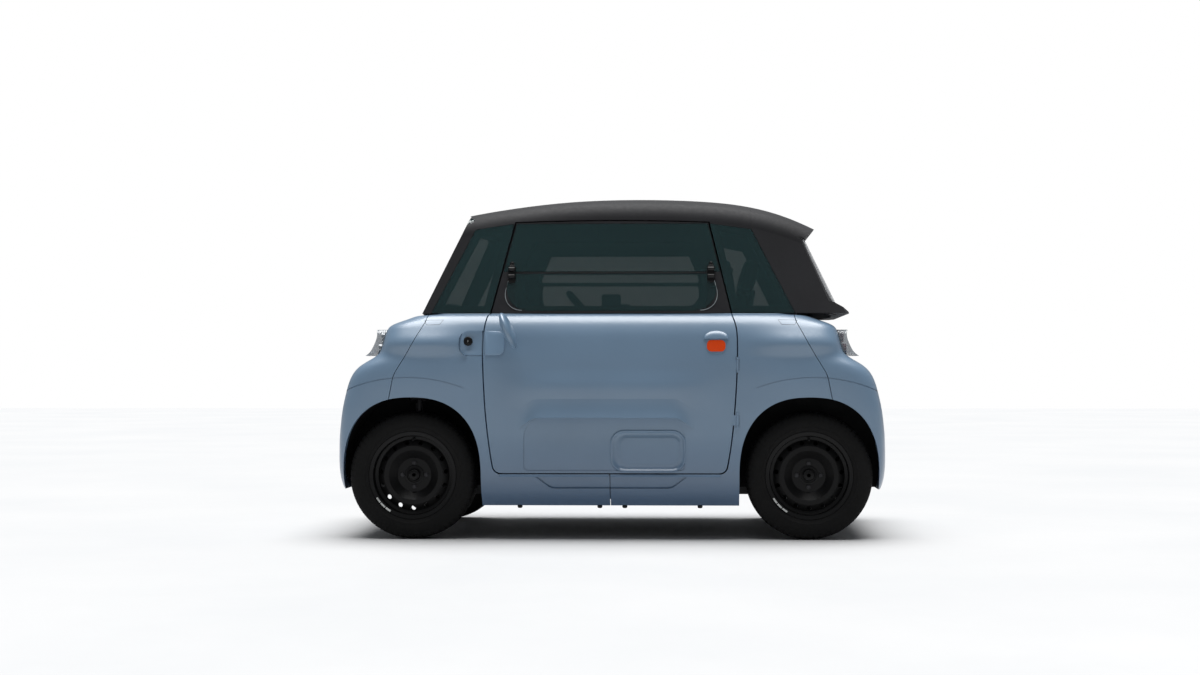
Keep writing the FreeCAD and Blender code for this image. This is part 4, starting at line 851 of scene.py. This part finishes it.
MARKER_X, MARKER_Z = 0.460, 0.842
hood_points, HOOD_STEPS, HOOD_ROWS = [], 24, 6
for row in range(HOOD_ROWS):
    share = row / (HOOD_ROWS - 1)
    for step in range(HOOD_STEPS + 1):
        turn = math.pi * step / HOOD_STEPS
        low_x, low_z = 0.047 * math.cos(turn), 0.029 + 0.001 * math.sin(turn)
        top_x, top_z = 0.054 * math.cos(turn), 0.024 + 0.042 * math.sin(turn) ** 0.7
        lift = -0.001 + 0.0095 * (1 - share ** 3)
        hood_points.append(door_place(MARKER_X + low_x * (1 - share) + top_x * share,
                                      MARKER_Z + low_z * (1 - share) + top_z * share, lift))
for step in range(HOOD_STEPS + 1):
    foot_x = MARKER_X + 0.047 * math.cos(math.pi * step / HOOD_STEPS)
    hood_points.append(door_place(foot_x, MARKER_Z + 0.029, -0.001))
hood_faces = skinned_strip(HOOD_ROWS + 1, HOOD_STEPS)
add_pair("marker_hood", (hood_points, hood_faces), *PAINT)
marker_ring = laid_on(door_skin, [(MARKER_X + u, MARKER_Z + v) for u, v in rounded(0.082, 0.058, 0.028)],
                      0.0090, 0.0035)
add_pair("marker_bezel", marker_ring, *PAINT)

window_place = left_place(window_skin)
barrel = turned_solid([(0.007, 0.016), (0.0105, 0.0125), (0.0105, -0.0125), (0.007, -0.016)], 24)
lengthwise = Matrix.Rotation(math.pi / 2, 4, "Y")
for where, tag in ((-0.438, "front"), (0.438, "rear")):
    base = plate(rounded(0.032, 0.080, 0.012, centre=(where, 1.160)), 0.007, 0.003, window_place)
    knuckle = [moved(barrel, Matrix.Translation(window_place(where, 1.163 + lift, 0.011)) @ lengthwise)
               for lift in (-0.016, 0.016)]
    stud = moved(hexagon(0.0080, 0.006), axes(window_place(where, 1.205, 0.0), *TO_LEFT))
    add_pair(f"flap_hinge_{tag}", joined(base, stud, *knuckle), HINGE, "black_plastic", matrix=MIRRORED)

# The bare edges of the folding pane, round its lower corners: real edges, coloured light grey as a
# painted glint
FRAME_HALF, FRAME_TAPER, HEADER = 0.525, 0.100, 1.388
FLAP_CORNER = 0.098


def frame_edge(level):
    """Half the length of a door's window frame at a height."""
    return FRAME_HALF - (level - BELT) * FRAME_TAPER / (HEADER - BELT)


def flap_edge(level):
    """The same for the folding pane, to the middle of its bare edge."""
    return frame_edge(level) - 0.032 - 0.004 * (level - 0.997) / 0.164


corner = []
for step in range(15):
    turn = math.pi / 2 * step / 14
    level = 0.9995 + 0.0985 * (1 - math.cos(turn))
    corner.append((flap_edge(level) - FLAP_CORNER * (1 - math.sin(turn)), level))
corner += [(flap_edge(level), level) for level in (1.11, 1.125, 1.14)]
for hand, tag in ((1, "rear"), (-1, "front")):
    strip = laid_on(window_skin, [(hand * x, z) for x, z in corner], 0.0022, 0.0016, False)
    add_pair(f"flap_glass_edge_{tag}", strip, GLINT_EDGE, "tinted_glass", matrix=MIRRORED)

# Window frames of the doors: broad outside, a thin rail between the panes
WALL_LEAN = 0.193
PLAN_LEAN = 0.231
FRAME_BAND = 0.036
HEIGHTS = ((1.000, 1.000), (1.031, 1.018), (1.127, 1.157), (1.163, 1.163), (1.167, 1.167),
           (1.205, 1.173), (1.350, 1.302), (1.366, 1.366))


def opened_up(spot, side):
    """Moves the rims of a frame's openings up or down by HEIGHTS, and inward."""
    level = new_z = spot.z
    inward = 0.608 - WALL_LEAN * (level - 0.880) - abs(spot.y)
    along = -side * spot.x - PLAN_LEAN * inward
    if abs(along) > frame_edge(level) - FRAME_BAND:
        return spot
    for (low, new_low), (high, new_high) in zip(HEIGHTS, HEIGHTS[1:]):
        if low < level <= high:
            new_z = new_low + (level - low) * (new_high - new_low) / (high - low)
            along *= 0.925 - 0.05 * smooth_step(1.20, 1.35, level)
    new_y = spot.y - math.copysign(WALL_LEAN * (new_z - level), spot.y)
    return Vector((-side * (along + PLAN_LEAN * inward), new_y, new_z))


for side in (LEFT, RIGHT):
    name = SIDE_NAMES[side]
    mesh = NODES[f"door_frame_{name}"].data
    points = [opened_up(vertex.co.copy(), side) for vertex in mesh.vertices]
    faces = [list(polygon.vertices) for polygon in mesh.polygons]
    window_frame = add(f"window_frame_{name}", (points, faces), *BLACK_TRIM, f"door_{name}", 30)
    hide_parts(f"door_frame_{name}")

# The pressed ring low on each door: a raised lip round a channel laid in the solid's square groove
CHANNEL = ((0.0, -0.001), (0.04, 0.0018), (0.09, 0.0042), (0.15, 0.0052), (0.21, 0.0044),
           (0.29, 0.0014), (0.37, -0.0018), (0.45, -0.0034), (0.55, -0.0038), (0.68, -0.0033),
           (0.82, -0.0020), (0.93, -0.0006), (1.0, 0.0004), (0.90, -0.0048), (0.30, -0.0048),
           (0.06, -0.0045))
outer_ring = rounded(0.330, 0.184, 0.060, 10, (0.165, 0.3875))
inner_ring = rounded(0.246, 0.111, 0.032, 10, (0.172, 0.3865))
outer_hits = [from_left(door_skin, x, z) for x, z in outer_ring]
inner_hits = [from_left(door_skin, x, z) for x, z in inner_ring]
channel = []
for share, depth in CHANNEL:
    for (outer_spot, out_a), (inner_spot, out_b) in zip(outer_hits, inner_hits):
        channel.append(outer_spot.lerp(inner_spot, share) + out_a.lerp(out_b, share) * depth)
channel_faces = skinned(len(CHANNEL), len(outer_ring), looped_rows=True)
add_pair("door_ring", (channel, channel_faces), *PAINT, angle=50)

# The swage across each door: a swelling that ends in a sharp lower edge
SWAGE_FROM, SWAGE_TO, SWAGE_FADE = -0.400, 0.365, 0.11
SWAGE_TOP, SWAGE_EDGE, SWAGE_LIFT = 0.612, 0.5315, 0.0130
SWAGE_FRONT = ((0.0, 0.0), (0.18, 0.03), (0.36, 0.12), (0.52, 0.25), (0.66, 0.41), (0.78, 0.59),
               (0.88, 0.77), (0.95, 0.91), (1.0, 1.0))
SWAGE_BACK = ((1.012, 0.05), (1.020, 0.25), (1.025, 1.0), (0.5, 1.0), (-0.01, 1.0))
swage_points, SWAGE_STEPS = [], 72
for share, rise in SWAGE_FRONT + SWAGE_BACK:
    for step in range(SWAGE_STEPS + 1):
        x = SWAGE_FROM + (SWAGE_TO - SWAGE_FROM) * step / SWAGE_STEPS
        taper = min(smooth_step(SWAGE_FROM, SWAGE_FROM + SWAGE_FADE, x),
                    smooth_step(-SWAGE_TO, -SWAGE_TO + SWAGE_FADE, -x))
        drop = 0.046 * (1 - taper) ** 2
        high = door_place(x, SWAGE_TOP - drop, 0.0)
        spot = door_place(x, SWAGE_TOP - drop + (SWAGE_EDGE - SWAGE_TOP) * share, 0.0003)
        front = high.y - SWAGE_LIFT * (rise if (share, rise) in SWAGE_FRONT else 1.0)
        y = spot.y + (min(front, spot.y) - spot.y) * taper ** 0.7
        if (share, rise) in SWAGE_BACK:
            y += (spot.y + 0.0018 - y) * rise
        swage_points.append(Vector((x, y, spot.z)))
swage = (swage_points, skinned_strip(len(SWAGE_FRONT + SWAGE_BACK), SWAGE_STEPS))
add_pair("door_swage", swage, *PAINT, angle=34)

# The chamfered step on the sill, just under the doors
SILL_STEP = [(-0.0022, -0.003), (-0.0022, 0.0), (0.0062, 0.0070), (0.0078, 0.0075), (0.0094, 0.0068),
             (0.0104, 0.0), (0.0104, -0.003)]
SILL_STEP_Z = 0.2838
for start_x, end_x, tag in ((-0.478, -0.006, "front"), (0.003, 0.478, "rear")):
    hits = [from_left(sill_skin, start_x + (end_x - start_x) * step / 40, SILL_STEP_Z)
            for step in range(41)]
    lip = swept([spot for spot, _ in hits], [out for _, out in hits], SILL_STEP)
    add_pair(f"sill_lip_{tag}", lip, *PAINT, "body", MIRRORED, 50)

# Doors, inside: latch of the folding window, pull strap and release
inner_frame = surface("door_frame_left")
inner_door = surface("door_left")
frame_in, _ = from_cabin(inner_frame, 0.0, 1.012)
latch_place = framed((0.0, frame_in.y + 0.002, 1.030), (-1, 0, 0), (0, WALL_LEAN, 1))
latch = plate(rounded(0.084, 0.070, 0.010), 0.010, 0.004, latch_place, 0.030)
button = moved(turned_solid([(0.009, 0.020), (0.0115, 0.0175), (0.0125, 0.008)], 28),
               axes(latch_place(0, 0.014, 0), (-1, 0, 0), (0, WALL_LEAN, 1)))
add_pair("flap_latch", joined(latch, button), SEAL, "black_plastic")
strap_spots = []
for x, lift in ((-0.36, 0.004), (-0.32, 0.010), (-0.24, 0.030), (-0.16, 0.030), (-0.08, 0.010),
                (-0.04, 0.004)):
    point, normal = from_cabin(inner_door, x, 0.80)
    strap_spots.append((point + normal * lift, normal))
strap_path = curved([point for point, _ in strap_spots], 6)
strap = swept(strap_path, Vector((0, 1, 0)), flat_section(0.030, 0.003))
add_pair("door_pull", strap, WEBBING, "cabin_plastic", angle=60)
strap_end = turned_solid([(0.010, 0.008), (0.0145, 0.006), (0.0165, 0.0), (0.0165, -0.008)], 28)
fittings = [moved(strap_end, axes(point, *TO_CABIN)) for point, _ in (strap_spots[0], strap_spots[-1])]
lever_at, _ = from_cabin(inner_door, -0.44, 0.855)
fittings.append(plate(rounded(0.110, 0.050, 0.016), 0.010, 0.004, framed(lever_at, *TO_CABIN), 0.010))
fittings.append(plate(rounded(0.070, 0.022, 0.008), 0.010, 0.003,
                      framed(lever_at + Vector((0.008, 0.009, 0)), *TO_CABIN), 0.002))
add_pair("door_fittings", joined(*fittings), *CABIN_TRIM)

# The recess ahead of each door: a scooped lining with the lock cylinder in it
SCOOP_X, SCOOP_END, SCOOP_MIDDLE, SCOOP_Z = -0.6510, -0.5555, -0.600, 0.852
SCOOP_HALF, SCOOP_RADIUS, SCOOP_DEPTH = 0.0530, 0.038, 0.0098
front_place = left_place(front_skin)
scoop_outline = [(SCOOP_END, SCOOP_Z - SCOOP_HALF), (SCOOP_END, SCOOP_Z + SCOOP_HALF)]
for hand in (1, -1):
    for step in range(11):
        turn = math.pi / 2 * (step if hand > 0 else 10 - step) / 10
        up = SCOOP_HALF - SCOOP_RADIUS + SCOOP_RADIUS * math.cos(turn)
        scoop_outline.append((SCOOP_X + SCOOP_RADIUS * (1 - math.sin(turn)), SCOOP_Z + hand * up))
scoop_points = [front_place(u, v, -0.001) for u, v in scoop_outline]
SCOOP_SHARES = (1.0, 0.97, 0.92, 0.85, 0.76, 0.65, 0.5, 0.3, 0.12)
for share in SCOOP_SHARES:
    for edge_u, edge_v in scoop_outline:
        u = SCOOP_MIDDLE + (edge_u - SCOOP_MIDDLE) * share
        v = SCOOP_Z + (edge_v - SCOOP_Z) * share
        rise = math.hypot(smooth_step(0.35, 1.0, abs(v - SCOOP_Z) / SCOOP_HALF),
                          smooth_step(0.2, 1.0, (SCOOP_MIDDLE - u) / (SCOOP_MIDDLE - SCOOP_X)))
        scoop_points.append(front_place(u, v, 0.0006 + SCOOP_DEPTH * min(1.0, rise)))
scoop = (scoop_points, skinned(len(SCOOP_SHARES) + 1, len(scoop_outline)))
add_pair("lock_scoop", scoop, *PAINT, "body", TURNED, 60)
lock_at, lock_out = from_left(front_skin, -0.6165, 0.861)
lock_axes = axes(lock_at + lock_out * 0.002, (1, 0, 0), (0, lock_out.z, -lock_out.y))
lock_ring = turned_solid([(0.0062, 0.0045), (0.0066, 0.0062), (0.0135, 0.0062), (0.0145, 0.0075),
                          (0.0180, 0.0075), (0.0198, 0.0055), (0.0202, -0.004)], 48)
add_pair("door_lock", moved(lock_ring, lock_axes), HINGE, "black_plastic", "body", TURNED)
keyway = plate(rounded(0.0034, 0.0095, 0.0016, 4), 0.0020, 0.0004,
               lambda u, v, height: lock_axes @ Vector((u, v, 0.0045 + height)))
add_pair("lock_keyway", keyway, ZINC, "suspension_steel", "body", TURNED)

# Lamp insides: a dark housing, reflector cups and a light bar behind each cover
LAMP_Y, LAMP_Z = 0.480, 0.8575
nose_place = ahead_place(surface("front_panel"))
cup = turned_solid([(0.005, 0.003), (0.006, 0.006), (0.0145, 0.0115), (0.020, 0.0185), (0.0215, 0.0185),
                    (0.0215, -0.002)], 36)
for side in (LEFT, RIGHT):
    housing = plate(rounded(0.150, 0.105, 0.026, centre=(side * LAMP_Y, LAMP_Z)), 0.0032, 0.002,
                    nose_place)
    cups = [moved(cup, axes(nose_place(side * LAMP_Y, level, 0.002), *TO_FRONT))
            for level in (0.832, 0.882)]
    bar_path = [nose_place(side * LAMP_Y + u, LAMP_Z + v, 0.012) for u, v in rounded(0.118, 0.074, 0.02)]
    bar = swept(bar_path, Vector((-1, 0, 0)), flat_section(0.004, 0.005, -0.012), True)
    name = SIDE_NAMES[side]
    add(f"lamp_housing_front_{name}", housing, SEAL, "lamp_cover")
    add(f"lamp_reflectors_front_{name}", joined(*cups), SILVER, "lamp_cover")
    add(f"lamp_bar_front_{name}", bar, MARKER_WHITE, "lamp_cover")
    name = SIDE_NAMES[-side]
    add(f"lamp_housing_rear_{name}", moved(housing, TURNED), SEAL, "lamp_cover")
    add(f"lamp_reflectors_rear_{name}", moved(joined(*cups), TURNED), RED_LENS, "lamp_cover")
    add(f"lamp_bar_rear_{name}", moved(bar, TURNED), MARKER_WHITE, "lamp_cover")

# Wiper: a parked arm and blade on the far half of the windscreen
screen_place = ahead_place(surface("windscreen"))
blade_line, out_line = [[screen_place(0.02 + 0.044 * step, 1.042 + 0.0015 * step, height)
                         for step in range(12)] for height in (0.0015, 1.0)]
normals = [(far - near).normalized() for near, far in zip(blade_line, out_line)]
blade = swept(blade_line, normals, flat_section(0.005, 0.008, -0.002))
spine = swept([near + normal * 0.006 for near, normal in zip(blade_line, normals)], normals,
              flat_section(0.010, 0.004, 0.0))
arm_line = curved([screen_place(-0.06, 1.030, 0.008), screen_place(0.03, 1.032, 0.014),
                   screen_place(0.16, 1.040, 0.014), screen_place(0.262, 1.050, 0.012)])
arm = swept(arm_line, Vector((-1, 0, 0.4)).normalized(), flat_section(0.011, 0.004, -0.002))
pivot_at, pivot_far = [screen_place(-0.06, 1.030, height) for height in (0.0, 1.0)]
pivot_up = (pivot_far - pivot_at).normalized().cross(Vector((0, -1, 0)))
pivot = moved(turned_solid([(0.008, 0.016), (0.0125, 0.012), (0.0140, 0.003), (0.0140, -0.006)], 28),
              axes(pivot_at, (0, -1, 0), pivot_up))
add("wiper", joined(blade, spine, arm, pivot), SEAL, "black_plastic")

# Small flap outlines on the shoulders, and the feet under the sills
shoulder = surface("front_panel", "quarter_front_left")
FLAP = [(-0.812, 0.9545), (-0.728, 0.9560), (-0.744, 0.9350), (-0.800, 0.9335)]
line = []
for (from_x, from_z), (to_x, to_z) in zip(FLAP[-1:] + FLAP, FLAP):
    line += [(from_x + (to_x - from_x) * step / 8, from_z + (to_z - from_z) * step / 8)
             for step in range(8)]
flap_line = laid_on(shoulder, line, 0.0022, 0.0011)
for side_matrix, tag in ((Matrix.Identity(4), "left"), (MIRRORED, "right")):
    add(f"bonnet_flap_{tag}", moved(flap_line, side_matrix), SEAL, "black_plastic")
    add(f"tail_flap_{tag}", moved(moved(flap_line, side_matrix), TURNED), SEAL, "black_plastic")
foot = soft_block((0.011, 0.008, 0.0085), 3, 10)
feet = [moved(foot, Matrix.Translation((x, side * 0.598, 0.1435)))
        for x in (-0.396, -0.047, 0.062, 0.390) for side in (LEFT, RIGHT)]
add("sill_feet", joined(*feet), SEAL, "black_plastic")

# The camera, placed from the photograph's frame in pixels and from the wheel face nearest to it
PHOTO_WIDTH = 1200
CAMERA_X = 0.39
CAMERA_HEIGHT = 0.72
WHEEL_FACE_Y = -0.632
CAMERA_AWAY = 8.0
PIXELS_PER_METRE = 230.0
SENSOR = 36.0
SHIFT_PIXELS, TILT_PIXELS = 50, 36.5
focal_pixels = PIXELS_PER_METRE * CAMERA_AWAY
camera_data = bpy.data.cameras.new("photo_camera")
camera_data.sensor_width = SENSOR
camera_data.lens = focal_pixels / PHOTO_WIDTH * SENSOR
camera_data.shift_x = -SHIFT_PIXELS / PHOTO_WIDTH
camera = bpy.data.objects.new("photo_camera", camera_data)
bpy.context.scene.collection.objects.link(camera)
yaw = math.atan(SHIFT_PIXELS / focal_pixels)
pitch = math.atan(TILT_PIXELS / focal_pixels)
camera.location = (CAMERA_X, WHEEL_FACE_Y - CAMERA_AWAY, CAMERA_HEIGHT)
camera.rotation_euler = (math.pi / 2 + pitch, 0, yaw)
bpy.context.scene.camera = camera
bpy.context.scene.view_settings.view_transform = "Standard"

# A broad overhead light, and a dim dome that the camera sees as white
overhead = bpy.data.lights.new("overhead", "SUN")
overhead.energy = 5.4
overhead.angle = math.radians(56)
overhead_light = bpy.data.objects.new("overhead", overhead)
overhead_light.rotation_euler = (math.radians(-6), 0, 0)
bpy.context.scene.collection.objects.link(overhead_light)

world = bpy.data.worlds.new("studio")
bpy.context.scene.world = world
world.use_nodes = True
sky = world.node_tree
dome = sky.nodes["Background"]
dome.inputs["Color"].default_value = (0.93, 0.96, 1.0, 1)
dome.inputs["Strength"].default_value = 0.27
seen = sky.nodes.new("ShaderNodeBackground")
seen.inputs["Color"].default_value = (1, 1, 1, 1)
rays = sky.nodes.new("ShaderNodeLightPath")
either = sky.nodes.new("ShaderNodeMixShader")
sky.links.new(rays.outputs["Is Camera Ray"], either.inputs[0])
sky.links.new(dome.outputs[0], either.inputs[1])
sky.links.new(seen.outputs[0], either.inputs[2])
sky.links.new(either.outputs[0], sky.nodes["World Output"].inputs["Surface"])

FLOOR_HALF = 30
floor_mesh = bpy.data.meshes.new("floor")
corners = [(x * FLOOR_HALF, y * FLOOR_HALF, 0) for x, y in ((-1, -1), (1, -1), (1, 1), (-1, 1))]
floor_mesh.from_pydata(corners, [], [(0, 1, 2, 3)])
floor = bpy.data.objects.new("floor", floor_mesh)
bpy.context.scene.collection.objects.link(floor)
floor_look = Shader("floor_paint").set(Specular_IOR_Level=0.2)
floor_look.colour(floor_look.tones(floor_look.noise(0.7, 5), (0.50, 0.505, 0.51), (0.53, 0.53, 0.53)))
floor_look.rough(floor_look.map(floor_look.noise(9, 4), 0.55, 0.7))
floor_mesh.materials.append(floor_look.bump(floor_look.noise(300, 2), 0.0002, 0.3).material)
